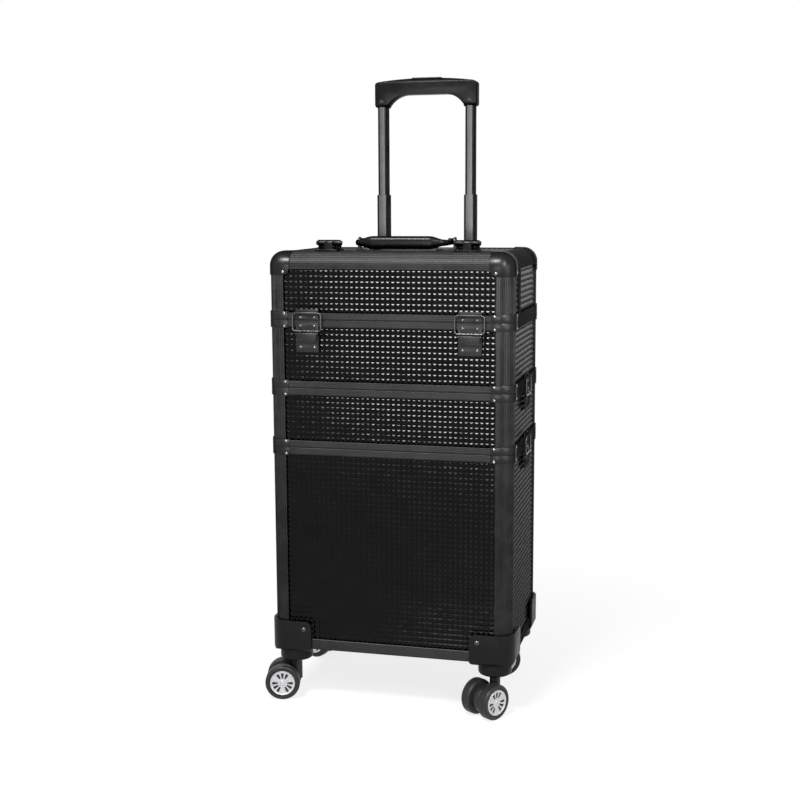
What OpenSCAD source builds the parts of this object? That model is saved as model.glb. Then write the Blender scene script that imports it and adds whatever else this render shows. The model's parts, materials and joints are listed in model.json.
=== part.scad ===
// Rolling three-tier case: a bin on four twin-wheel casters, a middle tier, and a
// top tier whose lid has a front flap. Millimetres. The origin is on the floor under
// the middle of the case, +X to the viewer's right, +Y to the back, +Z up.

/* [Case] */
// Width of the case over its rims
case_w = 345; // [300:1:420]
// Depth of the case, front to back
case_d = 225; // [200:1:300]
// Radius of the upright edges and of the lid's top edges
edge_r = 20; // [14:1:22]
// Height of the bottom bin
bin_h = 292; // [230:1:380]
// Height of the middle tier
middle_h = 84; // [80:1:140]
// Height of the top tier
top_h = 95; // [85:1:150]
// Height of the lid
lid_h = 94; // [80:1:120]
// Gap left at a seam between two tiers
seam_gap = 0.4; // [0.3:0.1:0.8]

/* [Frame] */
// Width of a corner profile on each face
flange_w = 24; // [22:1:34]
// Wall of the corner profiles
profile_t = 2.2; // [1.5:0.1:3]
// Height of the rim strip beside a seam
rim_h = 10; // [8:0.5:13]
// Height of the band round the bin's bottom edge
base_band_h = 15; // [12:0.5:20]
// Wall of the rim channels
rim_t = 2; // [1.5:0.1:2.2]
// How far a rim stands proud of the corner profiles
rim_lap = 0.6; // [0.3:0.1:1]
// Thickness of the wall panels
panel_t = 4; // [3:0.1:6]
// Thickness of the floor panels
floor_t = 4; // [3:0.1:5]
// Height of the tongue that locates the tier above
tongue_h = 5; // [3:0.5:6]
// Thickness of the tongue
tongue_t = 2; // [1:0.1:3]
// Side clearance of the tongue in the tier above
tongue_gap = 0.7; // [0.4:0.1:1.2]

/* [Corner brackets] */
// Length of a bracket along each face
bracket_w = 30; // [26:1:38]
// Height of a bracket beside its seam
bracket_h = 11.5; // [11:0.5:18]
// Sheet thickness of the brackets
bracket_t = 1; // [0.8:0.1:1.5]
// Distance of a rivet from the seam
rivet_z = 8.5; // [5:0.5:10]
// Radius of a rivet head
rivet_r = 2.2; // [1.5:0.1:2.6]
// Height of a rivet head
rivet_h = 0.9; // [0.5:0.1:1.4]

/* [Lid] */
// Depth of the flap, from the front of the case to its hinge line
flap_d = 58; // [45:1:75]
// Groove between the flap and the fixed part of the lid
flap_gap = 1.2; // [0.8:0.1:2]
// Width of the stiffening arch beside the groove
arch_w = 10; // [6:1:14]
// Length of the arms of a ball corner
cap_arm = 13; // [11:1:22]
// Sheet thickness of a ball corner
cap_t = 1.2; // [0.8:0.1:2]

/* [Flap hinges] */
// Distance of each hinge's middle from the case's side
hinge_in = 73.5; // [58:0.5:90]
// Width of a hinge
hinge_w = 32; // [28:1:40]
// Depth of a hinge leaf
leaf_d = 18; // [12:1:24]
// Thickness of a hinge leaf
leaf_t = 1.6; // [1:0.1:2.5]
// Outer radius of the knuckles
knuckle_r = 4.4; // [3.5:0.1:6]
// Radius of the hinge pins
hinge_pin_r = 2; // [1.5:0.1:2.5]
// Height of the hinge pins over the lid
hinge_up = 10; // [8:0.5:11]

/* [Latches] */
// Distance of each front latch's middle from the case's side
latch_in = 58.5; // [53:0.5:90]
// Width of the latch plates
latch_w = 32; // [26:1:38]
// Thickness of the latch plates
latch_t = 1.4; // [1:0.1:2]
// Outer width of the wire bail
bail_w = 43; // [40:1:52]
// Radius of the bail's wire
wire_r = 1.2; // [1:0.1:1.6]
// Height of the bail's pivot over the seam
bail_up = 9.8; // [9:0.1:12]
// Depth of the bail's lower bar under the seam
bail_down = 14.8; // [13:0.1:18]
// Length of the lever
lever_l = 12.5; // [9:0.5:16]
// Length of a front latch's base plate under the seam
front_base_l = 44; // [40:1:60]
// Length of a side latch's base plate under the seam
side_base_l = 35; // [34:1:46]

/* [Carry handle] */
// Half of the handle's length over its brackets
carry_half = 71.5; // [55:0.5:76]
// Depth of the grip
carry_grip_d = 18; // [14:1:20]
// Height of the grip
carry_grip_h = 18.5; // [14:0.5:18.5]
// How far the grip lies in front of its pivots
carry_reach = 36; // [30:1:42]
// Half of the stretch over which the grip has its full section
carry_full_half = 43; // [30:1:48]
// Share of the full section that the grip keeps at its ends
carry_thin = 0.5; // [0.4:0.05:0.9]
// Height of the pivots over the lid
carry_pivot_up = 11; // [9:0.5:13]
// Height of the grip's middle over the pivots
carry_rise = -1; // [-1:0.5:3]

/* [Telescopic handle] */
// Distance of each post from the middle
post_x = 67; // [50:1:80]
// Top of the outer tubes over the bin
outer_up = 20; // [15:1:40]
// Top of the lower stage, from the floor
lower_top = 722; // [700:1:780]
// Length of the lower stage
lower_l = 450; // [380:1:480]
// Overlap of the upper stage inside the lower one
stage_overlap = 60; // [40:1:80]
// Width of the upper stage's tubes
upper_w = 14; // [11:0.5:16]
// Depth of the upper stage's tubes
upper_d = 20; // [15:0.5:20.5]
// Wall of each tube
tube_t = 1.2; // [0.9:0.1:1.4]
// Clearance between one tube and the next
tube_gap = 0.3; // [0.2:0.05:0.4]
// Width of the grip
grip_w = 154; // [152:1:190]
// Height of the grip at its middle
grip_h = 42.5; // [36:0.5:50]
// Underside of the grip's sockets, from the floor
grip_z = 851; // [840:1:890]
// Depth of the grip
grip_d = 25; // [24:0.5:28]
// Rise of the grip's underside between its sockets
finger_rise = 19; // [14:0.5:21]

/* [Casters] */
// Diameter of the wheels
wheel_d = 50; // [40:1:60]
// Width of one wheel
wheel_w = 15; // [11:0.5:18]
// Distance between the middles of a caster's two wheels
wheel_pitch = 32; // [26:0.5:36]
// Distance of the axle behind the swivel
caster_trail = 20; // [12:1:24]
// Distance of each swivel from the case's faces
caster_inset = 26.5; // [25:0.5:36]
// Height of the neck between the wheels' tops and the socket
neck_h = 8; // [6:0.5:14]
// Height of a caster socket
socket_h = 17; // [12:0.5:26]
// Radius of a caster socket
socket_r = 23.5; // [18:0.5:24]
// Radius of a caster's stem
stem_r = 5.5; // [4:0.1:7]
// Radius of a wheel's axle
axle_r = 3; // [2:0.1:4]

/* [Corner guards] */
// Length of a guard along each face
guard_w = 58; // [50:1:70]
// Height of a guard above the bottom edge
guard_h = 40; // [30:1:60]
// Wall of a guard
guard_t = 4; // [3:0.5:6]
// Thickness of a guard under the bin
guard_base = 5; // [3:0.5:8]

/* [Hidden] */
$fn = 48;

// Levels, from the floor up
base_z = wheel_d + neck_h + socket_h + guard_base;
seam3 = base_z + bin_h;
seam2 = seam3 + middle_h;
seam1 = seam2 + top_h;
top_z = seam1 + lid_h;

// Insets from the case's outline to each layer of a wall
panel_in = rim_lap + profile_t;
leg_in = panel_in + panel_t;
leg_t = 1.5;
inner_in = leg_in + leg_t;
tongue_in = inner_in + tongue_gap;
tongue_back = tongue_in + tongue_t;
floor_up = tongue_h + 1;
floor_ledge = 12;
half_w = case_w / 2;
half_d = case_d / 2;
bracket_rivet_in = 5;

// Lid
cap_rivet_in = 5;
cap_rivet_side = 4;
split_y = -half_d + flap_d;
lip_gap = 0.5;
lip_reach = 8;
lip_in = inner_in + lip_gap;
lip_t = 1.5;
cap_r = edge_r - rim_lap;
hinge_x = half_w - hinge_in;
hinge_z = top_z + hinge_up;
knuckle_l = hinge_w / 3;
knuckle_gap = 0.3;
leaf_gap = 0.4;
leaf_rivet_x = 11;
leaf_rivet_in = 4.5;
leaf_rivet_r = 2.4;
pin_fit = 0.08;
hinge_head = 2.5;

// Latches: y is outward from the case's outline, z is from the seam
latch_x = half_w - latch_in;
latch_rivet_r = 1.9;
catch_low = seam_gap + 1;
catch_up = 5;
catch_rivet_up = 2.8;
base_up = 3.5;
base_round = 6;
base_rivet_down = 7.5;
base_rivet_low = 7;
second_row_l = 40;
bail_fit = 0.08;
curl_t = 1.3;
bail_gap = 0.3;
bail_y = latch_t + rivet_h + wire_r + bail_gap;
bail_corner = 4;
barrel_r = 2;
lever_pin_r = 1.1;
lever_gap = 0.3;
lever_drop = 0.9;
lever_y = latch_t + barrel_r + lever_gap;
lever_z = -bail_down - wire_r - barrel_r - lever_drop;
lever_t = 1.2;
lever_tip = 3;
lever_tip_turn = 22;
lever_tip_in = 2;
lever_tip_lap = 0.4;
ear_t = 1.5;
ear_gap = 0.4;
latch_rivet_x = latch_w / 2 - 6;

// Carry handle
carry_z = top_z + carry_pivot_up;
carry_boss_r = 6;
carry_hub_r = 4.6;
carry_pin_r = 2;
carry_ear_t = 3;
carry_gap = 0.4;
carry_arm_t = 8;
carry_arm_h = 6;
carry_shoulder = 15;
carry_round = 5;
carry_plate_w = 26;
carry_plate_d = 32;
carry_plate_t = 0.5;
carry_rivet_in = 6;
carry_rivet_end = 5;
carry_grip_half = carry_half - carry_ear_t - carry_gap;

// Telescopic handle
lower_w = upper_w + 2 * (tube_t + tube_gap);
lower_d = upper_d + 2 * (tube_t + tube_gap);
outer_w = lower_w + 2 * (tube_t + tube_gap);
outer_d = lower_d + 2 * (tube_t + tube_gap);
tube_r = 4;
post_off = 0.5;
post_y = half_d + post_off + outer_d / 2;
outer_low = base_z + base_band_h + 2;
outer_top = seam3 + outer_up;
collar_h = 10;
collar_t = 2;
clamp_h = 26;
clamp_w = 58;
clamp_back = 3;
clamp_round = 5;
clamp_end = 2;
clamp_rivet_in = 7;
clamp_rivet_r = 3;
tube_foot_h = 2;
plug_h = 16;
upper_low = lower_top - stage_overlap;
socket_wall = 3;
socket_deep = 22;
upper_top = grip_z + socket_deep;
lock_down = 40;
lock_z = lower_top - lock_down;
lock_r = 3;
lock_up = 1.5;
grip_corner = 4;
grip_round = 6;
grip_inner_wall = 1.8;
grip_arch_r = 36;
grip_arch_in = 30;
grip_screw_up = 9;
grip_drop = 5.5;
button_w = 45;
button_d = 11;
button_deep = 8;
button_up = 1.2;
button_travel = 3;
button_round = 3;
button_fit = 0.25;
well_gap = 0.3;
grip_screw_r = 3;

// Casters
caster_x = half_w - caster_inset;
caster_y = half_d - caster_inset;
headings = [["front_left", -1, -1, 14], ["front_right", 1, -1, 57],
            ["rear_left", -1, 1, -20], ["rear_right", 1, 1, 20]];
spin_fit = 0.08;
wheel_side_gap = 1;
fork_t = wheel_pitch - wheel_w - 2 * wheel_side_gap;
neck_r = 7.5;
neck_gap = 0.5;
fork_in = 6;
tyre_round = 3;
hubcap_r = 0.375 * wheel_d;
hubcap_t = 1.6;
slot_groups = 3;
slots_per_group = 3;
slot_turn = 22;
slot_low = 0.36 * hubcap_r;
slot_high = 0.76 * hubcap_r;
slot_low_r = 0.8;
slot_high_r = 1.6;
socket_z = base_z - guard_base - socket_h;
socket_round = 4;
stem_l = socket_h - socket_round;

// Corner guards
guard_round = 9;
guard_foot_r = 6;
guard_corner_foot_r = 9;
guard_screw_in = 11;
guard_screw_r = 3.2;

frame_grey = "#3c3e42";
panel_black = "#17181a";
plastic_black = "#1d1d1f";
steel_dark = "#2f3033";
rivet_grey = "#9a9ca0";
tyre_black = "#2a2b2d";
hubcap_silver = "#c9cbce";

// Helpers: copies to the left, to the back and to all four corners
module both_x() {
  children();
  mirror([1, 0, 0]) children();
}

module both_y() {
  children();
  mirror([0, 1, 0]) children();
}

module corners() {
  both_x() both_y() children();
}

// A rounded rectangle on the plan, inset from the case's outline
module outline(inset) {
  w = case_w - 2 * inset;
  d = case_d - 2 * inset;
  r = max(edge_r - inset, 1);
  square([w - 2 * r, d], center = true);
  square([w, d - 2 * r], center = true);
  for (x = [-1, 1], y = [-1, 1])
    translate([x * (w / 2 - r), y * (d / 2 - r)]) circle(r);
}

// A ring between two insets
module ring(z, h, outside, inside) {
  translate([0, 0, z]) linear_extrude(h) difference() {
    outline(outside);
    outline(inside);
  }
}

// A right-angled profile with a rounded outside corner, which lies at (0, 0)
module corner_section(leg, r, t) {
  difference() {
    intersection() {
      translate([-leg, -leg]) square(leg);
      union() {
        translate([-leg, -leg]) square([leg - r, leg]);
        translate([-leg, -leg]) square([leg, leg - r]);
        translate([-r, -r]) circle(r);
      }
    }
    translate([-leg - 1, -leg - 1]) square([leg + 1 - r, leg + 1 - t]);
    translate([-leg - 1, -leg - 1]) square([leg + 1 - t, leg + 1 - r]);
    translate([-r, -r]) circle(r - t);
  }
}

module post_section() {
  corner_section(flange_w - rim_lap, edge_r - rim_lap, profile_t);
}

// An upright corner profile at the right rear corner
module post(z0, z1) {
  translate([half_w - rim_lap, half_d - rim_lap, z0]) linear_extrude(z1 - z0)
    post_section();
}

module posts(z0, z1) {
  color(frame_grey) corners() post(z0, z1);
}

// Channel under a tier: outer strip, web and inner leg
module lower_rim(z, h) {
  ring(z, h, 0, rim_t);
  ring(z, rim_t, 0, inner_in);
  ring(z, h, leg_in, inner_in);
}

// Channel on top of a tier, with the tongue that locates the tier above
module upper_rim(z) {
  ring(z - rim_h, rim_h, 0, rim_t);
  ring(z - rim_t, rim_t, 0, tongue_back);
  ring(z - rim_h, rim_h, leg_in, inner_in);
  ring(z - rim_t, rim_t + tongue_h, tongue_in, tongue_back);
}

// Front and rear panels, then the two sides
module wall_panels(z0, z1) {
  color(panel_black) {
    both_y() translate([-half_w + edge_r, half_d - leg_in, z0 + rim_t])
      cube([case_w - 2 * edge_r, panel_t, z1 - z0 - 2 * rim_t]);
    both_x() translate([half_w - leg_in, -half_d + edge_r, z0 + rim_t])
      cube([panel_t, case_d - 2 * edge_r, z1 - z0 - 2 * rim_t]);
  }
}

module floor_panel(z) {
  color(panel_black) translate([0, 0, z]) linear_extrude(floor_t) outline(inner_in);
}

// A domed rivet head on a face at y = 0, looking along -Y
module rivet(r = rivet_r) {
  color(rivet_grey) rotate([90, 0, 0]) cylinder(h = rivet_h, r1 = r, r2 = r * 0.6);
}

// Sheet bracket round the right rear corner, from z up
module bracket(z, h) {
  translate([half_w + bracket_t, half_d + bracket_t, z]) linear_extrude(h)
    corner_section(bracket_w + bracket_t, edge_r + bracket_t, bracket_t);
}

module bracket_rivets(z) {
  x = bracket_w - bracket_rivet_in;
  translate([half_w - x, half_d + bracket_t, z]) rotate([0, 0, 180]) rivet();
  translate([half_w + bracket_t, half_d - x, z]) rotate([0, 0, 90]) rivet();
}

// Brackets that end at a seam, below it or above it
module brackets_below(z) {
  color(steel_dark) bracket(z - bracket_h, bracket_h);
  bracket_rivets(z - rivet_z);
}

module brackets_above(z) {
  color(steel_dark) bracket(z, bracket_h);
  bracket_rivets(z + rivet_z);
}

// Bin
module bin_corner_posts() {
  posts(base_z + base_band_h, seam3 - rim_h);
}

module bin_rims() {
  color(frame_grey) {
    lower_rim(base_z, base_band_h);
    upper_rim(seam3);
  }
}

module bin_wall_panels() {
  wall_panels(base_z, seam3);
}

module bin_floor_panel() {
  floor_panel(base_z + rim_t);
  // A ledge all round, level with the channel's web, carries the panel
  color(frame_grey) ring(base_z, rim_t, inner_in, inner_in + floor_ledge);
}

module bin_corner_brackets() {
  corners() brackets_below(seam3);
}

// Moulded guard at the right rear bottom corner
module guard() {
  low = base_z - guard_base;
  h = guard_base + guard_h;
  intersection() {
    translate([half_w + guard_t, half_d + guard_t, 0]) union() {
      translate([0, 0, base_z]) linear_extrude(guard_h)
        corner_section(guard_w + guard_t, edge_r + guard_t, guard_t);
      translate([0, 0, low]) linear_extrude(guard_base) {
        translate([-guard_w - guard_t, -guard_w - guard_t])
          square([guard_w + guard_t - edge_r - guard_t, guard_w + guard_t]);
        translate([-guard_w - guard_t, -guard_w - guard_t])
          square([guard_w + guard_t, guard_w - edge_r]);
        translate([-edge_r - guard_t, -edge_r - guard_t]) circle(edge_r + guard_t);
      }
    }
    translate([half_w - guard_w, 0, low]) rotate([90, 0, 0])
      linear_extrude(2 * case_d, center = true) guard_face(h, guard_round);
    translate([0, half_d - guard_w, low]) rotate([90, 0, 90])
      linear_extrude(2 * case_w, center = true) guard_face(h, guard_round);
  }
}

// A guard's outline from one side, rounded at its free top corner and along its foot
module guard_face(h, r) {
  w = guard_w + guard_t;
  f = guard_foot_r;
  c = guard_corner_foot_r;
  translate([0, f]) square([w - c, h - r - f]);
  translate([r, c]) square([w + 1 - r, h - c]);
  translate([f, 0]) square([w - f - c, c]);
  translate([r, h - r]) circle(r);
  translate([f, f]) circle(f);
  translate([w - c, c]) circle(c);
}

module bottom_corner_guards() {
  color(plastic_black) corners() guard();
}

module guard_screws() {
  inner = guard_w - guard_screw_in;
  screw_z = base_z + guard_h - guard_screw_in;
  corners() {
    translate([half_w - inner, half_d + guard_t, screw_z]) rotate([0, 0, 180])
      rivet(guard_screw_r);
    translate([half_w + guard_t, half_d - inner, screw_z]) rotate([0, 0, 90])
      rivet(guard_screw_r);
  }
}

// Socket under each guard, bored for the caster's stem
module caster_sockets() {
  color(plastic_black) corners() translate([caster_x, caster_y, socket_z])
    rotate_extrude() difference() {
      union() {
        translate([0, socket_round]) square([socket_r, socket_h - socket_round]);
        square([socket_r - socket_round, socket_h]);
        translate([socket_r - socket_round, socket_round]) circle(socket_round);
      }
      translate([-socket_r, -1]) square([socket_r, socket_h + 2]);
      translate([0, -1]) square([stem_r + spin_fit, stem_l + 1 + neck_gap]);
    }
}

// A tube with rounded corners, standing at z
module tube_plan(w, d, r) {
  square([w - 2 * r, d], center = true);
  square([w, d - 2 * r], center = true);
  for (x = [-1, 1], y = [-1, 1])
    translate([x * (w / 2 - r), y * (d / 2 - r)]) circle(r);
}

module tube(z0, z1, w, d, r) {
  translate([0, 0, z0]) linear_extrude(z1 - z0) difference() {
    tube_plan(w, d, r);
    tube_plan(w - 2 * tube_t, d - 2 * tube_t, r - tube_t);
  }
}

module at_posts() {
  both_x() translate([post_x, post_y, 0]) children();
}

module outer_tubes() {
  color(steel_dark) at_posts() tube(outer_low, outer_top, outer_w, outer_d, tube_r + 1);
}

// Clamps that hold the outer tubes on the bin, a collar on each tube and its foot
module tube_clamps() {
  color(plastic_black) at_posts() {
    for (z = clamp_levels()) clamp(z);
    translate([0, 0, outer_low - tube_foot_h]) linear_extrude(tube_foot_h)
      tube_plan(outer_w, outer_d, tube_r + 1);
    translate([0, 0, outer_top]) linear_extrude(collar_h) difference() {
      tube_plan(outer_w + collar_t, outer_d, tube_r + 1);
      tube_plan(lower_w + 2 * tube_gap, lower_d + 2 * tube_gap, tube_r + tube_gap);
    }
  }
  at_posts() for (z = clamp_levels(), x = [-1, 1])
    translate([x * (clamp_w / 2 - clamp_rivet_in), plate_back(), z + clamp_h / 2])
      rotate([0, 0, 180]) rivet(clamp_rivet_r);
}

function clamp_levels() = [outer_low + clamp_end, seam3 - rim_h - clamp_h - clamp_end];

// Back of a clamp's ears and front of its plate, from the post's middle
function plate_back() = -outer_d / 2 + 1;
function plate_front() = -outer_d / 2 - post_off - panel_in;

module clamp(z) {
  translate([0, 0, z]) linear_extrude(clamp_h) difference() {
    union() {
      translate([-clamp_w / 2, plate_front()])
        square([clamp_w, plate_back() - plate_front()]);
      translate([-outer_w / 2 - clamp_back, plate_front()])
        square([outer_w + 2 * clamp_back, outer_d / 2 - plate_front()]);
      translate([0, outer_d / 4])
        tube_plan(outer_w + 2 * clamp_back, outer_d / 2 + 2 * clamp_back, clamp_round);
    }
    tube_plan(outer_w, outer_d, tube_r + 1);
  }
}

// Latch parts, in the latch's own frame: x across, y outward, z from the seam.
module on_front(x, seam) {
  translate([x, -half_d, seam]) rotate([0, 0, 180]) children();
}

module on_side(s, seam) {
  translate([s * half_w, 0, seam]) rotate([0, 0, -90 * s]) children();
}

// A cylinder along x, centred
module rod_x(l, r) {
  rotate([0, 90, 0]) cylinder(h = l, r = r, center = true);
}

module plate_outline(w, z0, z1, r) {
  translate([0, z0 + r]) square([w, 2 * r], center = true);
  translate([-w / 2, z0 + r]) square([w, z1 - z0 - r]);
  translate([-w / 2 + r, z0]) square([w - 2 * r, r]);
  for (s = [-1, 1]) translate([s * (w / 2 - r), z0 + r]) circle(r);
}

module upright(y0, t) {
  translate([0, y0 + t, 0]) rotate([90, 0, 0]) linear_extrude(t) children();
}

// Plate on the upper piece, with a curl round the bail's top bar
module catch_plate() {
  color(steel_dark) difference() {
    union() {
      upright(0, latch_t) translate([-latch_w / 2, catch_low])
        square([latch_w, bail_up + catch_up - catch_low]);
      translate([0, bail_y, bail_up]) rod_x(latch_w, wire_r + bail_fit + curl_t);
    }
    translate([0, bail_y, bail_up]) rod_x(latch_w + 2, wire_r + bail_fit);
  }
  for (s = [-1, 1]) translate([s * latch_rivet_x, latch_t, catch_low + catch_rivet_up])
    rotate([0, 0, 180]) rivet(latch_rivet_r);
}

// Plate on the lower piece, with ears and a pin for the lever
module base_plate(l) {
  ear_x = latch_w / 2 - ear_t;
  color(steel_dark) {
    upright(0, latch_t) plate_outline(latch_w, -l, -base_up, base_round);
    for (s = [-1, 1]) difference() {
      union() {
        translate([s * (ear_x + ear_t / 2), lever_y, lever_z]) rod_x(ear_t, barrel_r);
        translate([s * (ear_x + ear_t / 2) - ear_t / 2, latch_t, lever_z - barrel_r])
          cube([ear_t, lever_y - latch_t, 2 * barrel_r]);
      }
      translate([s * (ear_x + ear_t / 2), lever_y, lever_z])
        rod_x(ear_t + 1, lever_pin_r);
    }
    translate([0, lever_y, lever_z]) rod_x(latch_w, lever_pin_r);
  }
  // A long plate has a second row of rivets at its foot
  rows = l > second_row_l ? [-base_rivet_down, -l + base_rivet_low] : [-base_rivet_down];
  for (s = [-1, 1], z = rows) translate([s * latch_rivet_x, latch_t, z])
    rotate([0, 0, 180]) rivet(latch_rivet_r);
}

// Closed wire loop that hangs from the catch plate
module bail() {
  w = bail_w / 2 - wire_r;
  top = bail_up;
  low = -bail_down;
  c = bail_corner;
  color(rivet_grey) translate([0, bail_y, 0]) {
    for (z = [top, low]) translate([0, 0, z]) rod_x(2 * (w - c), wire_r);
    for (s = [-1, 1]) translate([s * w, 0, low + c])
      cylinder(h = top - low - 2 * c, r = wire_r);
    for (q = [[1, top - c, 0], [-1, top - c, 90], [-1, low + c, 180], [1, low + c, 270]])
      translate([q[0] * (w - c), 0, q[1]]) rotate([90, 0, 0]) rotate([0, 0, q[2]])
        rotate_extrude(angle = 90) translate([c, 0]) circle(wire_r);
  }
}

// Lever that hangs from the base plate's pin
module lever() {
  l = latch_w - 2 * ear_t - 2 * ear_gap;
  tip_z = lever_z - lever_l + lever_tip;
  color(steel_dark) difference() {
    union() {
      translate([0, lever_y, lever_z]) rod_x(l, barrel_r);
      translate([-l / 2, lever_y + barrel_r - lever_t, tip_z])
        cube([l, lever_t, lever_l - lever_tip]);
      translate([0, lever_y + barrel_r - lever_t, tip_z]) rotate([-lever_tip_turn, 0, 0])
        translate([-l / 2 + lever_tip_in, 0, -lever_tip])
          cube([l - 2 * lever_tip_in, lever_t, lever_tip + lever_tip_lap]);
    }
    translate([0, lever_y, lever_z]) rod_x(l + 2, lever_pin_r + bail_fit);
  }
}

module side_catches(seam) {
  for (s = [-1, 1]) on_side(s, seam) catch_plate();
}

module side_bases(seam) {
  for (s = [-1, 1]) on_side(s, seam) base_plate(side_base_l);
}

module bin_latch_plates() {
  side_bases(seam3);
}

// Middle tier
module middle_corner_posts() {
  posts(seam3 + rim_h, seam2 - rim_h);
}

module middle_rims() {
  color(frame_grey) {
    lower_rim(seam3 + seam_gap, rim_h - seam_gap);
    upper_rim(seam2);
  }
}

module middle_wall_panels() {
  wall_panels(seam3 + seam_gap, seam2);
}

module middle_floor_panel() {
  floor_panel(seam3 + floor_up);
}

module middle_corner_brackets() {
  corners() {
    brackets_above(seam3 + seam_gap);
    brackets_below(seam2);
  }
}

module middle_latch_plates() {
  side_catches(seam3);
  side_bases(seam2);
}

// Top tier
module top_corner_posts() {
  posts(seam2 + rim_h, seam1 - rim_h);
}

module top_rims() {
  color(frame_grey) {
    lower_rim(seam2 + seam_gap, rim_h - seam_gap);
    upper_rim(seam1);
  }
}

module top_wall_panels() {
  wall_panels(seam2 + seam_gap, seam1);
}

module top_floor_panel() {
  floor_panel(seam2 + floor_up);
}

module top_corner_brackets() {
  corners() brackets_above(seam2 + seam_gap);
  corners() brackets_below(seam1);
}

module top_latch_plates() {
  side_catches(seam2);
  both_x() on_front(latch_x, seam1) base_plate(front_base_l);
}

// Everything behind the groove, or in front of it
module behind_split() {
  intersection() {
    children();
    translate([-case_w, split_y + flap_gap / 2, 0]) cube([2 * case_w, 2 * case_d, 2 * top_z]);
  }
}

module before_split() {
  intersection() {
    children();
    translate([-case_w, split_y - flap_gap / 2 - 2 * case_d, 0])
      cube([2 * case_w, 2 * case_d, 2 * top_z]);
  }
}

// Profile along the lid's top rear edge
module top_edge_x() {
  translate([half_w - edge_r, half_d - rim_lap, top_z - rim_lap])
    rotate([90, 0, -90]) linear_extrude(case_w - 2 * edge_r)
      mirror([1, 0, 0]) post_section();
}

// Profile along the lid's right top edge
module top_edge_y() {
  translate([half_w - rim_lap, half_d - edge_r, top_z - rim_lap])
    rotate([90, 0, 0]) linear_extrude(case_d - 2 * edge_r) post_section();
}

// The lid's arch-shaped cross-section, inset from its outline, standing at seam1
module arch_outline(inset, low) {
  r = max(edge_r - inset, 1);
  w = case_w - 2 * inset;
  translate([-w / 2, seam1 + low]) square([w, lid_h - inset - low - r]);
  translate([-w / 2 + r, seam1 + low]) square([w - 2 * r, lid_h - inset - low]);
  for (s = [-1, 1]) translate([s * (w / 2 - r), top_z - inset - r]) circle(r);
}

module arch(y0, y1, outside, inside, low) {
  translate([0, y1, 0]) rotate([90, 0, 0]) linear_extrude(y1 - y0) difference() {
    arch_outline(outside, low);
    arch_outline(inside, low - 1);
  }
}

module lid_frame() {
  arch_low = floor_up + 1;
  back = split_y + flap_gap / 2;
  color(frame_grey) {
    behind_split() {
      lower_rim(seam1, rim_h);
      both_x() top_edge_y();
    }
    top_edge_x();
    both_x() post(seam1 + rim_h, top_z - edge_r);
    arch(back, back + arch_w, leg_in, lip_in + lip_t, arch_low);
    arch(back - lip_reach, back + arch_w, lip_in, lip_in + lip_t, arch_low);
  }
}

module flap_frame() {
  front = split_y - flap_gap / 2;
  color(frame_grey) {
    before_split() {
      lower_rim(seam1 + seam_gap, rim_h - seam_gap);
      both_x() top_edge_y();
    }
    mirror([0, 1, 0]) top_edge_x();
    both_x() mirror([0, 1, 0]) post(seam1 + rim_h, top_z - edge_r);
    arch(front - arch_w, front, leg_in, inner_in, rim_h);
  }
}

module lid_plates(low) {
  color(panel_black) {
    both_y() translate([-half_w + edge_r, half_d - leg_in, seam1 + low])
      cube([case_w - 2 * edge_r, panel_t, lid_h - low - edge_r]);
    both_x() translate([half_w - leg_in, -half_d + edge_r, seam1 + low])
      cube([panel_t, case_d - 2 * edge_r, lid_h - low - edge_r]);
    translate([-half_w + edge_r, -half_d + edge_r, top_z - leg_in])
      cube([case_w - 2 * edge_r, case_d - 2 * edge_r, panel_t]);
  }
}

module lid_panels() {
  behind_split() lid_plates(rim_t);
}

module flap_panels() {
  before_split() lid_plates(seam_gap + rim_t);
}

// A cube corner with rounded edges, its sphere's centre at the origin
module rounded_corner(r, a) {
  intersection() {
    translate([-a, -a, -a]) cube(a + r);
    union() {
      translate([-a, -a, -a]) cube([a, a, a + r]);
      translate([-a, -a, -a]) cube([a, a + r, a]);
      translate([-a, -a, -a]) cube([a + r, a, a]);
      translate([0, 0, -a]) cylinder(r = r, h = a);
      rotate([0, -90, 0]) cylinder(r = r, h = a);
      rotate([90, 0, 0]) cylinder(r = r, h = a);
      sphere(r);
    }
  }
}

// Ball corner over the right rear top corner
module ball_corner() {
  translate([half_w - edge_r, half_d - edge_r, top_z - edge_r]) {
    color(steel_dark) difference() {
      rounded_corner(cap_r + cap_t, cap_arm);
      rounded_corner(cap_r, cap_arm + 1);
    }
    at = cap_arm - cap_rivet_in;
    translate([-cap_rivet_side, cap_r + cap_t, -at]) rotate([0, 0, 180]) rivet();
    translate([cap_r + cap_t, -cap_rivet_side, -at]) rotate([0, 0, 90]) rivet();
  }
}

// Ball corners on top, and the brackets under them at the seam
module lid_ball_corners() {
  both_x() ball_corner();
  both_x() brackets_above(seam1 + seam_gap);
}

module flap_ball_corners() {
  both_x() mirror([0, 1, 0]) ball_corner();
  both_x() mirror([0, 1, 0]) brackets_above(seam1 + seam_gap);
}

// Flap hinge at x = 0 on the groove: the lid's leaf has the two outer knuckles
module leaf(y0, y1) {
  translate([-hinge_w / 2, y0, top_z - panel_in]) cube([hinge_w, y1 - y0, panel_in + leaf_t]);
}

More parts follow.
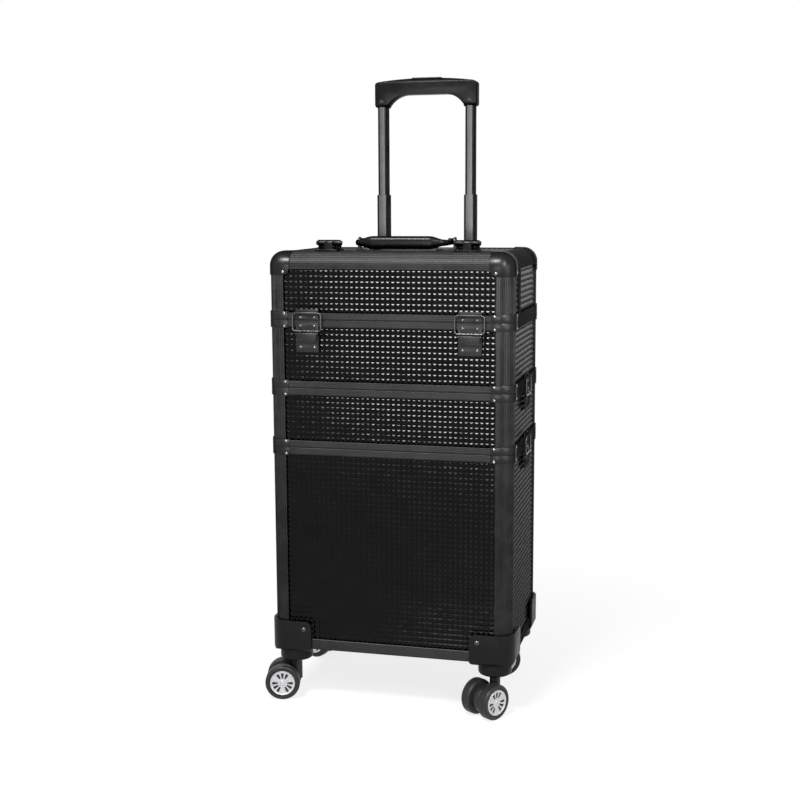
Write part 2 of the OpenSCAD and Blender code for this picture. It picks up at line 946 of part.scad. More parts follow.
module lid_hinge() {
  gap = flap_gap / 2 + leaf_gap;
  color(steel_dark) {
    difference() {
      union() {
        leaf(split_y + gap, split_y + leaf_d);
        for (s = [-1, 1]) translate([s * (hinge_w - knuckle_l) / 2, 0, 0])
          translate([-knuckle_l / 2, split_y, top_z + leaf_t / 2])
            cube([knuckle_l, knuckle_r + 2, hinge_z - top_z]);
        for (s = [-1, 1]) translate([s * (hinge_w - knuckle_l) / 2, split_y, hinge_z])
          rod_x(knuckle_l, knuckle_r);
      }
      translate([0, split_y, hinge_z]) rod_x(hinge_w + 2, hinge_pin_r);
      translate([-knuckle_l / 2 - knuckle_gap, split_y - leaf_d, top_z - leaf_t])
        cube([knuckle_l + 2 * knuckle_gap, leaf_d + knuckle_r + knuckle_gap, 2 * hinge_up]);
    }
    translate([0, split_y, hinge_z]) rod_x(hinge_w + 2 * hinge_head, hinge_pin_r);
    for (s = [-1, 1]) translate([s * (hinge_w / 2 + hinge_head / 2), split_y, hinge_z])
      rod_x(hinge_head, hinge_pin_r + 1);
  }
  for (s = [-1, 1])
    translate([s * leaf_rivet_x, split_y + leaf_d - leaf_rivet_in, top_z + leaf_t])
      rotate([90, 0, 0]) rivet(leaf_rivet_r);
}

module flap_hinge() {
  gap = flap_gap / 2 + leaf_gap;
  l = knuckle_l;
  color(steel_dark) difference() {
    union() {
      leaf(split_y - leaf_d, split_y - gap);
      translate([-l / 2, split_y - knuckle_r - 2, top_z + leaf_t / 2])
        cube([l, knuckle_r + 2, hinge_z - top_z]);
      translate([0, split_y, hinge_z]) rod_x(l, knuckle_r);
    }
    translate([0, split_y, hinge_z]) rod_x(l + 2, hinge_pin_r + pin_fit);
    for (s = [-1, 1]) translate([s * (hinge_w + l) / 2 - hinge_w / 2,
        split_y - knuckle_r - knuckle_gap, top_z + leaf_t])
      cube([hinge_w, leaf_d, 2 * hinge_up]);
  }
  for (s = [-1, 1])
    translate([s * leaf_rivet_x, split_y - leaf_d + leaf_rivet_in, top_z + leaf_t])
      rotate([90, 0, 0]) rivet(leaf_rivet_r);
}

module lid_hinge_leaves() {
  both_x() translate([hinge_x, 0, 0]) lid_hinge();
}

module flap_hinge_leaves() {
  both_x() translate([hinge_x, 0, 0]) flap_hinge();
}

module flap_latch_plates() {
  both_x() on_front(latch_x, seam1) catch_plate();
}

// Carry handle and its brackets
module carry_handle_brackets() {
  color(steel_dark) both_x() {
    translate([carry_half - carry_plate_w, -carry_plate_d / 2, top_z - panel_in])
      cube([carry_plate_w, carry_plate_d, panel_in + carry_plate_t]);
    translate([carry_half - carry_ear_t, 0, 0]) rotate([90, 0, 90])
      linear_extrude(carry_ear_t) difference() {
        union() {
          translate([-carry_boss_r, top_z - panel_in])
            square([2 * carry_boss_r, carry_pivot_up + panel_in]);
          translate([0, carry_z]) circle(carry_boss_r);
        }
        translate([0, carry_z]) circle(carry_pin_r);
      }
    translate([carry_half - (carry_ear_t + carry_arm_t) / 2, 0, carry_z])
      rod_x(carry_ear_t + carry_arm_t, carry_pin_r);
  }
  both_x() for (y = [-1, 1])
    translate([carry_half - carry_plate_w + carry_rivet_in,
        y * (carry_plate_d / 2 - carry_rivet_end), top_z + carry_plate_t])
      rotate([90, 0, 0]) rivet(leaf_rivet_r);
}

// One side of the grip's outline: full in the middle, narrower at both ends
module grip_taper(full) {
  l = carry_grip_half;
  m = carry_full_half;
  n = carry_full_half + carry_shoulder;
  h = full / 2;
  e = h * carry_thin;
  polygon([[-l, -e], [-n, -e], [-m, -h], [m, -h], [n, -e], [l, -e],
           [l, e], [n, e], [m, h], [-m, h], [-n, e], [-l, e]]);
}

module carry_grip() {
  long = 3 * carry_grip_d;
  intersection() {
    rotate([90, 0, 0]) linear_extrude(long, center = true) grip_taper(carry_grip_h);
    linear_extrude(long, center = true) grip_taper(carry_grip_d);
    rotate([90, 0, 90]) linear_extrude(2 * carry_grip_half, center = true)
      tube_plan(carry_grip_d, carry_grip_h, carry_round);
  }
}

module carry_handle() {
  color(plastic_black) difference() {
    union() {
      translate([0, -carry_reach, carry_z + carry_rise]) carry_grip();
      both_x() {
        translate([carry_grip_half - carry_arm_t / 2, 0, carry_z])
          rod_x(carry_arm_t, carry_hub_r);
        translate([carry_grip_half - carry_arm_t, -carry_reach, carry_z - carry_arm_h / 2])
          cube([carry_arm_t, carry_reach, carry_arm_h]);
      }
    }
    both_x() translate([carry_grip_half - carry_arm_t / 2, 0, carry_z])
      rod_x(carry_arm_t + 2, carry_pin_r + pin_fit);
  }
}

// Wire bails and levers, one of each to a latch
module front_left_bail() { on_front(-latch_x, seam1) bail(); }
module front_right_bail() { on_front(latch_x, seam1) bail(); }
module front_left_lever() { on_front(-latch_x, seam1) lever(); }
module front_right_lever() { on_front(latch_x, seam1) lever(); }
module upper_left_bail() { on_side(-1, seam2) bail(); }
module upper_right_bail() { on_side(1, seam2) bail(); }
module upper_left_lever() { on_side(-1, seam2) lever(); }
module upper_right_lever() { on_side(1, seam2) lever(); }
module lower_left_bail() { on_side(-1, seam3) bail(); }
module lower_right_bail() { on_side(1, seam3) bail(); }
module lower_left_lever() { on_side(-1, seam3) lever(); }
module lower_right_lever() { on_side(1, seam3) lever(); }

// Telescopic handle: each stage's tubes, with a plastic guide at the foot
module guide(z, w, d, r) {
  color(plastic_black) translate([0, 0, z - plug_h]) linear_extrude(plug_h)
    tube_plan(w, d, r);
}

module lower_stage_tubes() {
  low = lower_top - lower_l;
  at_posts() {
    color(frame_grey) difference() {
      tube(low, lower_top, lower_w, lower_d, tube_r);
      translate([-lower_w / 2, 0, lock_z]) rod_x(3 * tube_t, lock_r);
    }
    guide(low, lower_w + tube_gap, lower_d + tube_gap, tube_r);
  }
  // Lock pins in the facing sides of the tubes
  color(rivet_grey) at_posts() translate([-lower_w / 2 + tube_t, 0, lock_z])
    rotate([0, -90, 0]) cylinder(h = tube_t + lock_up, r = lock_r);
}

module upper_stage_tubes() {
  at_posts() {
    color(frame_grey) tube(upper_low, upper_top, upper_w, upper_d, tube_r - 1);
    guide(upper_low, upper_w + tube_gap, upper_d + tube_gap, tube_r - 1);
  }
}

// The grip's outline from the front: a bar with a low crown and two sockets
module grip_outline() {
  shoulder = grip_h - grip_drop;
  socket = (grip_w - 2 * post_x) / 2 + upper_w / 2 + grip_inner_wall;
  inner = grip_w / 2 - socket;
  r = grip_corner;
  difference() {
    intersection() {
      union() {
        translate([-grip_w / 2, r]) square([grip_w, shoulder - 2 * r]);
        translate([-grip_w / 2 + r, 0]) square([grip_w - 2 * r, grip_h]);
        for (s = [-1, 1], y = [r, shoulder - r])
          translate([s * (grip_w / 2 - r), y]) circle(r);
      }
      translate([0, grip_h - crown_r()]) circle(crown_r(), $fn = 96);
    }
    // The opening for the fingers is arched at both ends
    intersection() {
      translate([-inner, -1]) square([2 * inner, finger_rise + 1]);
      union() {
        translate([-inner + grip_arch_in, -1])
          square([2 * (inner - grip_arch_in), finger_rise + 1]);
        for (s = [-1, 1])
          translate([s * (inner - grip_arch_in), finger_rise - grip_arch_r])
            circle(grip_arch_r, $fn = 96);
      }
    }
  }
}

// Radius of a circle that crosses the grip's ends grip_drop below its middle
function crown_r() = (pow(grip_w / 2, 2) + pow(grip_drop, 2)) / (2 * grip_drop);

module handle_grip() {
  color(plastic_black) translate([0, post_y, grip_z]) difference() {
    intersection() {
      rotate([90, 0, 0]) linear_extrude(grip_d, center = true) grip_outline();
      rotate([90, 0, 90]) linear_extrude(grip_w, center = true)
        translate([0, grip_h / 2]) tube_plan(grip_d, grip_h, grip_round);
    }
    // Sockets for the tubes, and the well of the button
    for (s = [-1, 1]) translate([s * post_x, 0, -1]) linear_extrude(socket_deep + 1)
      tube_plan(upper_w, upper_d, tube_r - 1);
    translate([0, 0, grip_h - button_deep - button_travel - well_gap]) linear_extrude(grip_h)
      tube_plan(button_w + 2 * button_fit, button_d + 2 * button_fit,
                button_round + button_fit);
  }
}

module grip_screws() {
  for (s = [-1, 1]) translate([s * post_x, post_y - grip_d / 2, grip_z + grip_screw_up])
    rivet(grip_screw_r);
}

module grip_button() {
  color(frame_grey) translate([0, post_y, grip_z + grip_h - button_deep])
    linear_extrude(button_deep + button_up) tube_plan(button_w, button_d, button_round);
}

// Casters. In a caster's own frame the wheels trail along -x and spin about y.
module at_caster(c) {
  translate([c[1] * caster_x, c[2] * caster_y, 0]) rotate([0, 0, c[3]]) children();
}

module rod_y(l, r) {
  rotate([90, 0, 0]) cylinder(h = l, r = r, center = true);
}

module fork(c) {
  rim = wheel_d / 2 - fork_in;
  color(plastic_black) at_caster(c) {
    translate([0, 0, socket_z]) cylinder(h = stem_l, r = stem_r);
    translate([0, 0, wheel_d / 2]) cylinder(h = socket_z - neck_gap - wheel_d / 2, r = neck_r);
    translate([0, 0, socket_z - neck_gap]) cylinder(h = neck_gap, r = stem_r);
    difference() {
      translate([-caster_trail, 0, wheel_d / 2]) rod_y(fork_t, rim);
      translate([-caster_trail, 0, wheel_d / 2]) rotate([90, 0, 0])
        cylinder(h = fork_t + 2, r = axle_r, center = true);
    }
    translate([-caster_trail, 0, wheel_d / 2])
      rod_y(wheel_pitch + wheel_w - 2 * hubcap_t - 1, axle_r);
  }
}

// One wheel with its bore, its inner face at y = 0
module wheel() {
  color(tyre_black) rotate([-90, 0, 0]) rotate_extrude() difference() {
    union() {
      translate([0, tyre_round]) square([wheel_d / 2, wheel_w - 2 * tyre_round]);
      square([wheel_d / 2 - tyre_round, wheel_w]);
      for (y = [tyre_round, wheel_w - tyre_round])
        translate([wheel_d / 2 - tyre_round, y]) circle(tyre_round);
    }
    translate([-wheel_d, -1]) square([wheel_d + axle_r + spin_fit, wheel_w + 2]);
    translate([0, wheel_w - hubcap_t]) square([hubcap_r, hubcap_t + 1]);
  }
  color(hubcap_silver) rotate([-90, 0, 0]) translate([0, 0, wheel_w - hubcap_t])
    linear_extrude(hubcap_t) difference() {
      circle(hubcap_r);
      for (g = [0:slot_groups - 1], k = [0:slots_per_group - 1])
        rotate(360 / slot_groups * g + slot_turn * (k - 1) - 90) hub_slot();
    }
}

// A slot of the hubcap that widens outwards
module hub_slot() {
  translate([slot_low, 0]) circle(slot_low_r);
  translate([slot_high, 0]) circle(slot_high_r);
  polygon([[slot_low, -slot_low_r], [slot_high, -slot_high_r],
           [slot_high, slot_high_r], [slot_low, slot_low_r]]);
}

module wheels(c) {
  at_caster(c) translate([-caster_trail, 0, wheel_d / 2]) both_y()
    translate([0, (wheel_pitch - wheel_w) / 2, 0]) wheel();
}

module front_left_fork() { fork(headings[0]); }
module front_right_fork() { fork(headings[1]); }
module rear_left_fork() { fork(headings[2]); }
module rear_right_fork() { fork(headings[3]); }
module front_left_wheels() { wheels(headings[0]); }
module front_right_wheels() { wheels(headings[1]); }
module rear_left_wheels() { wheels(headings[2]); }
module rear_right_wheels() { wheels(headings[3]); }

bin_corner_posts();
bin_rims();
bin_wall_panels();
bin_floor_panel();
bin_corner_brackets();
bottom_corner_guards();
guard_screws();
caster_sockets();
outer_tubes();
tube_clamps();
bin_latch_plates();
middle_corner_posts();
middle_rims();
middle_wall_panels();
middle_floor_panel();
middle_corner_brackets();
middle_latch_plates();
top_corner_posts();
top_rims();
top_wall_panels();
top_floor_panel();
top_corner_brackets();
top_latch_plates();
lid_frame();
lid_panels();
lid_ball_corners();
lid_hinge_leaves();
carry_handle_brackets();
flap_frame();
flap_panels();
flap_ball_corners();
flap_hinge_leaves();
flap_latch_plates();
carry_handle();
front_left_bail();
front_right_bail();
front_left_lever();
front_right_lever();
upper_left_bail();
upper_right_bail();
upper_left_lever();
upper_right_lever();
lower_left_bail();
lower_right_bail();
lower_left_lever();
lower_right_lever();
lower_stage_tubes();
upper_stage_tubes();
handle_grip();
grip_screws();
grip_button();
front_left_fork();
front_right_fork();
rear_left_fork();
rear_right_fork();
front_left_wheels();
front_right_wheels();
rear_left_wheels();
rear_right_wheels();
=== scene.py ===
import json
import math
from collections import namedtuple

import bmesh
import bpy
from mathutils import Matrix, Vector


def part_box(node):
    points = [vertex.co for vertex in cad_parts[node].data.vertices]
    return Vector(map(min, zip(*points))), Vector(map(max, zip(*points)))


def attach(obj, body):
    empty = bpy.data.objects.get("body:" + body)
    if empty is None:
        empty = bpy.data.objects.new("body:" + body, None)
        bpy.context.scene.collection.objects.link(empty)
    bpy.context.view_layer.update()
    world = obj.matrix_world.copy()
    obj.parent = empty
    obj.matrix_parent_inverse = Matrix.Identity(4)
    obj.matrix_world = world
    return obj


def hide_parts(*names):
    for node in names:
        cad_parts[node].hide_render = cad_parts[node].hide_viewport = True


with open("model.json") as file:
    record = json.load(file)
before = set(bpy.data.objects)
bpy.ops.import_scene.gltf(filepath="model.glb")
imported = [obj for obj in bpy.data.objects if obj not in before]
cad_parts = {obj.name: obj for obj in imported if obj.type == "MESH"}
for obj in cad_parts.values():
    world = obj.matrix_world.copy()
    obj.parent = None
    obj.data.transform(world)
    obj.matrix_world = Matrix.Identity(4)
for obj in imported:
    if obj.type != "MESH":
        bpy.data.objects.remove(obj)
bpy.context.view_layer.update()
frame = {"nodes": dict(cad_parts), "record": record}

# Sizes in metres, as the case's construction has them
RIM_H = 0.010
BAND_H = 0.015
RIM_T = 0.002
RIM_LAP = 0.0006
PROFILE_T = 0.0022
FLANGE_W = 0.024
EDGE_R = 0.020
PANEL_T = 0.004
TONGUE_H = 0.005
TONGUE_T = 0.002
TONGUE_GAP = 0.0007
LEG_T = 0.0015
SEAM_GAP = 0.0004
FLAP_GAP = 0.0012
PANEL_IN = RIM_LAP + PROFILE_T
LEG_IN = PANEL_IN + PANEL_T
INNER_IN = LEG_IN + LEG_T
TONGUE_IN = INNER_IN + TONGUE_GAP
TONGUE_BACK = TONGUE_IN + TONGUE_T

X = Vector((1, 0, 0))
Y = Vector((0, 1, 0))
Z = Vector((0, 0, 1))

# Points nearer than the first two are merged, and the third is a gap too narrow to see
NEAR = 0.00001
NEAREST = 0.000001
SLIVER = 0.0001

# Places read from the frame
HALF_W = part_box("bin_rims")[1].x
HALF_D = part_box("bin_rims")[1].y
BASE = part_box("bin_rims")[0].z
SEAM3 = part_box("bin_rims")[1].z - TONGUE_H
SEAM2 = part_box("middle_rims")[1].z - TONGUE_H
SEAM1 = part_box("top_rims")[1].z - TONGUE_H
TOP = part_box("lid_panels")[1].z + PANEL_IN
SPLIT_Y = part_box("flap_panels")[1].y + FLAP_GAP / 2

# Pressed sheet: the clear strip is beside the lid's groove
STUD_PITCH = 0.0072
STUD_RISE = 0.0013
STUD_TILT = 0.012
CLEAR_STRIP = 0.0035

# Extruded profiles: a flute's marks are (share of its pitch, cut or not)
FLUTE_PITCH = 0.0028
FLUTE_DEEP = 0.00040
FLUTE_MARKS = ((0.08, 0), (0.62, 0), (0.77, 1), (0.85, 1))
RIM_FLUTE_PITCH = 0.0024
RIM_FLUTE_DEEP = 0.00025
RIM_EASE = 0.0003

# Edges of the lid and the flap at their groove
TRIM_W = 0.003
TRIM_IN = 0.0003
ARCH_W = 0.010
LIP_REACH = 0.008
LIP_GAP = 0.0005
LIP_UP = 0.002

# Corner fittings
BRACKET_W = 0.030
BRACKET_H = 0.0112
BRACKET_T = 0.001
BRACKET_RIVET = 0.025
BRACKET_RIVET_SIZE = 0.9
SEAM_RIVET = 0.0085
SHEET_EASE = 0.0003
CAP_T = 0.0012
CAP_R = EDGE_R - RIM_LAP + CAP_T
CAP_ARM = 0.0128
CAP_STEPS = 14
CAP_ROUNDING = 0.7
CAP_RIVET_SIDE = 0.004
CAP_RIVET_DOWN = 0.008

# Latches
LATCH_X = 0.114
LATCH_T = 0.0014
LATCH_RIVET_X = 0.010
LATCH_RIVET_SIZE = 0.86
CATCH_RIVET_Z = 0.0042
BASE_RIVET_Z = -0.0075
FRONT_BASE_RIVET_Z = -0.037
LATCHES = [row + side for row in ("front", "upper", "lower") for side in ("_left", "_right")]

# Handles
TUBE_R = 0.0032
TUBE_T = 0.0012
PLUG_H = 0.016
STRAIGHT = 0.995
CARRY_PIVOT_UP = 0.011
CARRY_ARM = 0.004
CARRY_TURN_R = 0.008
CARRY_FLATNESS = 0.96
CARRY_GAP = 0.0002
HUB_R = 0.0045
HUB_H = 0.0078
HUB_FACE_R = 0.0040
HUB_EASE = 0.0006

# Casters: the hubcap's slots and each corner's heading are in degrees
CASTER_IN = 0.0265
TRAIL = 0.020
WHEEL_R = 0.025
WHEEL_W = 0.015
WHEEL_PITCH = 0.032
SHOULDER_R = 0.003
TREAD_DEEP = 0.0005
TREAD_STEP = 0.0003
HUBCAP_SEAT_R = 0.01875
HUBCAP_SEAT_IN = 0.0016
SLOT_HALF = 9
SLOT_STEP = 29
SLOT_DEEP = 0.0011
AXLE_HOLE_R = 0.00308
AXLE_R = 0.0029
AXLE_HALF = 0.0210
NECK_R = 0.0075
NECK_FOOT = 0.026
STEM_R = 0.0053
STEM_H = 0.015
BRIDGE_W = 0.011
BRIDGE_H = 0.010
BRIDGE_Z = 0.036
CORNERS = {"front_left": (-1, -1, 14), "front_right": (1, -1, 57), "rear_left": (-1, 1, -20),
           "rear_right": (1, 1, 20)}


# Wiring of node trees
def add_node(tree, kind, inputs=None, **settings):
    """Adds a node, with its settings and its inputs: a socket is linked, a value is set."""
    made = tree.nodes.new(kind)
    for key, value in settings.items():
        setattr(made, key, value)
    for key, value in (inputs or {}).items():
        if isinstance(value, bpy.types.NodeSocket):
            tree.links.new(value, made.inputs[key])
        else:
            made.inputs[key].default_value = value
    return made


def new_tree(name, sockets):
    """A geometry tree with named inputs. Gives the tree, its input node and the inputs' identifiers."""
    tree = bpy.data.node_groups.new(name, "GeometryNodeTree")
    ids = {}
    tree.interface.new_socket("Geometry", in_out="INPUT", socket_type="NodeSocketGeometry")
    for label, kind in sockets:
        made = tree.interface.new_socket(label, in_out="INPUT", socket_type="NodeSocket" + kind)
        ids[label] = made.identifier
    tree.interface.new_socket("Geometry", in_out="OUTPUT", socket_type="NodeSocketGeometry")
    return tree, add_node(tree, "NodeGroupInput"), ids


def end_tree(tree, start, geometry):
    """Ends a tree in real geometry with its material."""
    real = add_node(tree, "GeometryNodeRealizeInstances", {"Geometry": geometry})
    painted = add_node(tree, "GeometryNodeSetMaterial", {
        "Geometry": real.outputs["Geometry"], "Material": start.outputs["Material"]})
    add_node(tree, "NodeGroupOutput", {"Geometry": painted.outputs["Geometry"]})


def arithmetic(tree, operation, first, second):
    return add_node(tree, "ShaderNodeMath", {0: first, 1: second}, operation=operation).outputs[0]


def stud_sheet_tree():
    """A sheet of four-sided studs in rows and columns, on the plane z = 0."""
    tree, start, ids = new_tree("Pressed studs", [
        ("Width", "Float"), ("Height", "Float"), ("Columns", "Int"), ("Rows", "Int"),
        ("Rise", "Float"), ("Item", "Object"), ("Unevenness", "Float"), ("Seed", "Int"),
        ("Material", "Material")])
    get = start.outputs
    cell_x = arithmetic(tree, "DIVIDE", get["Width"], get["Columns"])
    cell_y = arithmetic(tree, "DIVIDE", get["Height"], get["Rows"])
    other_way = arithmetic(tree, "MULTIPLY", get["Unevenness"], -1.0)
    low, high = (add_node(tree, "ShaderNodeCombineXYZ", {"X": limit, "Y": limit}).outputs[0]
                 for limit in (other_way, get["Unevenness"]))
    grid = add_node(tree, "GeometryNodeMeshGrid", {
        "Size X": arithmetic(tree, "SUBTRACT", get["Width"], cell_x),
        "Size Y": arithmetic(tree, "SUBTRACT", get["Height"], cell_y),
        "Vertices X": get["Columns"], "Vertices Y": get["Rows"]})
    stud = add_node(tree, "GeometryNodeObjectInfo", {"Object": get["Item"]})
    tilt = add_node(tree, "FunctionNodeRandomValue", {0: low, 1: high, "Seed": get["Seed"]},
                    data_type="FLOAT_VECTOR")
    size = add_node(tree, "ShaderNodeCombineXYZ", {"X": cell_x, "Y": cell_y, "Z": get["Rise"]})
    placed = add_node(tree, "GeometryNodeInstanceOnPoints", {
        "Points": grid.outputs["Mesh"], "Instance": stud.outputs["Geometry"],
        "Rotation": tilt.outputs[0], "Scale": size.outputs[0]})
    end_tree(tree, start, placed.outputs["Instances"])
    return tree, ids


def sweep_tree():
    """A closed section carried along a level path. The section's x is outward and its y is down."""
    tree, start, ids = new_tree("Swept profile", [("Item", "Object"), ("Material", "Material")])
    level = add_node(tree, "GeometryNodeSetCurveNormal", {
        "Curve": start.outputs["Geometry"]}, mode="Z_UP")
    section = add_node(tree, "GeometryNodeObjectInfo", {"Object": start.outputs["Item"]})
    swept = add_node(tree, "GeometryNodeCurveToMesh", {
        "Curve": level.outputs["Curve"], "Profile Curve": section.outputs["Geometry"],
        "Fill Caps": True})
    end_tree(tree, start, swept.outputs["Mesh"])
    return tree, ids


def bar_tree():
    """A closed section in the plane z = 0, drawn up into a bar."""
    tree, start, ids = new_tree("Drawn bar", [("Length", "Float"), ("Material", "Material")])
    cut = add_node(tree, "GeometryNodeFillCurve", {"Curve": start.outputs["Geometry"]}, mode="NGONS")
    rise = add_node(tree, "ShaderNodeCombineXYZ", {"Z": start.outputs["Length"]})
    drawn = add_node(tree, "GeometryNodeExtrudeMesh", {
        "Mesh": cut.outputs["Mesh"], "Offset": rise.outputs[0], "Offset Scale": 1.0,
        "Individual": False})
    foot = add_node(tree, "GeometryNodeFlipFaces", {"Mesh": cut.outputs["Mesh"]})
    both = add_node(tree, "GeometryNodeJoinGeometry")
    for part in (drawn, foot):
        tree.links.new(part.outputs["Mesh"], both.inputs[0])
    merged = add_node(tree, "GeometryNodeMergeByDistance", {
        "Geometry": both.outputs[0], "Distance": NEAREST})
    end_tree(tree, start, merged.outputs["Geometry"])
    return tree, ids


def copies_tree():
    """Copies of one item on marked points, each turned to the point's facing."""
    tree, start, ids = new_tree("Fixings", [
        ("Item", "Object"), ("Size", "Float"), ("Material", "Material")])
    item = add_node(tree, "GeometryNodeObjectInfo", {"Object": start.outputs["Item"]})
    facing = add_node(tree, "GeometryNodeInputNamedAttribute", {"Name": "facing"},
                      data_type="FLOAT_VECTOR")
    turn = add_node(tree, "FunctionNodeAlignRotationToVector", {
        "Vector": facing.outputs["Attribute"]}, axis="Z")
    placed = add_node(tree, "GeometryNodeInstanceOnPoints", {
        "Points": start.outputs["Geometry"], "Instance": item.outputs["Geometry"],
        "Rotation": turn.outputs[0], "Scale": start.outputs["Size"]})
    end_tree(tree, start, placed.outputs["Instances"])
    return tree, ids


STUD_SHEET = stud_sheet_tree()
SWEEP = sweep_tree()
BAR = bar_tree()
COPIES = copies_tree()


# Meshes
def link(name, data):
    made = bpy.data.objects.new(name, data)
    bpy.context.scene.collection.objects.link(made)
    return made


def form_of(mesh):
    form = bmesh.new()
    form.from_mesh(mesh)
    return form


def mesh_of(form, mesh=None):
    """Ends a form in the given mesh, or in a new one."""
    if mesh is None:
        mesh = bpy.data.meshes.new("form")
    form.to_mesh(mesh)
    form.free()
    return mesh


def as_modified(source):
    """The plain mesh of an object with its modifiers. The object is removed."""
    view = bpy.context.evaluated_depsgraph_get()
    mesh = bpy.data.meshes.new_from_object(source.evaluated_get(view))
    bpy.data.objects.remove(source)
    return mesh


def grown(maker, data, item=None, **values):
    """The plain mesh that a tree makes of a mesh or curve, with an item that it copies or sweeps."""
    tree, ids = maker
    source = link("source", data)
    if item:
        values["Item"] = link("item", item)
    modifier = source.modifiers.new("grown", "NODES")
    modifier.node_group = tree
    for label, value in values.items():
        modifier[ids[label]] = value
    made = painted(as_modified(source), values["Material"])
    if item:
        bpy.data.objects.remove(values["Item"])
    return made


def line_data(lines, closed):
    """A curve of straight-sided lines through points, which are (x, y) or (x, y, z)."""
    curve = bpy.data.curves.new("line", "CURVE")
    curve.dimensions = "3D"
    for points in lines:
        line = curve.splines.new("POLY")
        line.points.add(len(points) - 1)
        for place, point in zip(line.points, points):
            place.co = (*point, *(0.0,) * (3 - len(point)), 1.0)
        line.use_cyclic_u = closed
    return curve


def joined(name, meshes):
    """One mesh of several, with each face's material kept."""
    whole = bpy.data.meshes.new(name)
    form = bmesh.new()
    for mesh in meshes:
        slots = []
        for material in mesh.materials:
            if material.name not in whole.materials:
                whole.materials.append(material)
            slots.append(whole.materials.find(material.name))
        start = len(form.faces)
        form.from_mesh(mesh)
        form.faces.ensure_lookup_table()
        for face in form.faces[start:]:
            face.material_index = slots[face.material_index]
        bpy.data.meshes.remove(mesh)
    return mesh_of(form, whole)


def shade(mesh, crease):
    """Smooth shading with sharp edges where two faces meet at more than the crease angle."""
    form = form_of(mesh)
    for face in form.faces:
        face.smooth = True
    for edge in form.edges:
        edge.smooth = len(edge.link_faces) == 2 and edge.calc_face_angle(0) < math.radians(crease)
    mesh_of(form, mesh)


def piece(name, meshes, body, replaces=(), crease=32):
    """One finished piece of the case, riding on its body."""
    mesh = joined(name, meshes)
    shade(mesh, crease)
    made = link(name, mesh)
    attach(made, body)
    if replaces:
        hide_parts(*replaces)


def moved(mesh, matrix):
    mesh.transform(matrix)
    if matrix.determinant() < 0:
        mesh.flip_normals()
    return mesh


def painted(mesh, material):
    """The mesh with one material on every face."""
    mesh.materials.clear()
    mesh.materials.append(material)
    mesh.polygons.foreach_set("material_index", [0] * len(mesh.polygons))
    return mesh


def lathe(profile, segments, material):
    """A turned form: the profile's points are (radius, height), from the bottom up."""
    form = bmesh.new()
    turns = [2 * math.pi * i / segments for i in range(segments)]
    rings = []
    for radius, height in profile:
        ring = [(radius * math.cos(a), radius * math.sin(a), height) for a in turns]
        rings.append([form.verts.new(point) for point in (ring if radius else [(0, 0, height)])])
    for low, high in zip(rings, rings[1:]):
        for i in range(segments):
            j = (i + 1) % segments
            corners = [low[i % len(low)], low[j % len(low)], high[j % len(high)], high[i % len(high)]]
            form.faces.new(list(dict.fromkeys(corners)))
    return painted(mesh_of(form), material)


def loft(rings, material):
    """A skin over rings of equal length, closed by a face at each end."""
    form = bmesh.new()
    rows = [[form.verts.new(point) for point in ring] for ring in rings]
    count = len(rows[0])
    for low, high in zip(rows, rows[1:]):
        for i in range(count):
            j = (i + 1) % count
            form.faces.new((low[i], low[j], high[j], high[i]))
    form.faces.new(list(reversed(rows[0])))
    form.faces.new(rows[-1])
    bmesh.ops.recalc_face_normals(form, faces=form.faces)
    return painted(mesh_of(form), material)


def eased(mesh, width, material, bevel_angle=30, segments=2, thickness=0.0):
    """The mesh with its seams merged and its edges rounded, first thickened inwards if asked."""
    form = form_of(mesh)
    bmesh.ops.remove_doubles(form, verts=form.verts, dist=NEAR)
    bmesh.ops.dissolve_limit(form, angle_limit=math.radians(1), verts=form.verts, edges=form.edges)
    carrier = link("carrier", mesh_of(form, mesh))
    if thickness:
        wall = carrier.modifiers.new("wall", "SOLIDIFY")
        wall.thickness = thickness
        wall.offset = -1
    bevel = carrier.modifiers.new("rounding", "BEVEL")
    bevel.width = width
    bevel.segments = segments
    bevel.limit_method = "ANGLE"
    bevel.angle_limit = math.radians(bevel_angle)
    bevel.use_clamp_overlap = True
    return painted(as_modified(carrier), material)


def softened(node, width, material, bevel_angle=30, segments=2):
    """A copy of a frame node with rounded edges."""
    return eased(frame["nodes"][node].data.copy(), width, material, bevel_angle, segments)


def soft_piece(name, node, body, slot, width, material, crease=32, **rounding):
    """A piece that keeps its frame node's form, with rounded edges."""
    piece(name, [softened(node, width, material, **rounding)], body, [node], crease)


# Finishes: the noise is used from its low to its high mark
NOISE_LOW = 0.35
NOISE_HIGH = 0.65
WORN_EDGE_R = 0.0007
WORN_COLOUR = (0.35, 0.35, 0.36, 1)


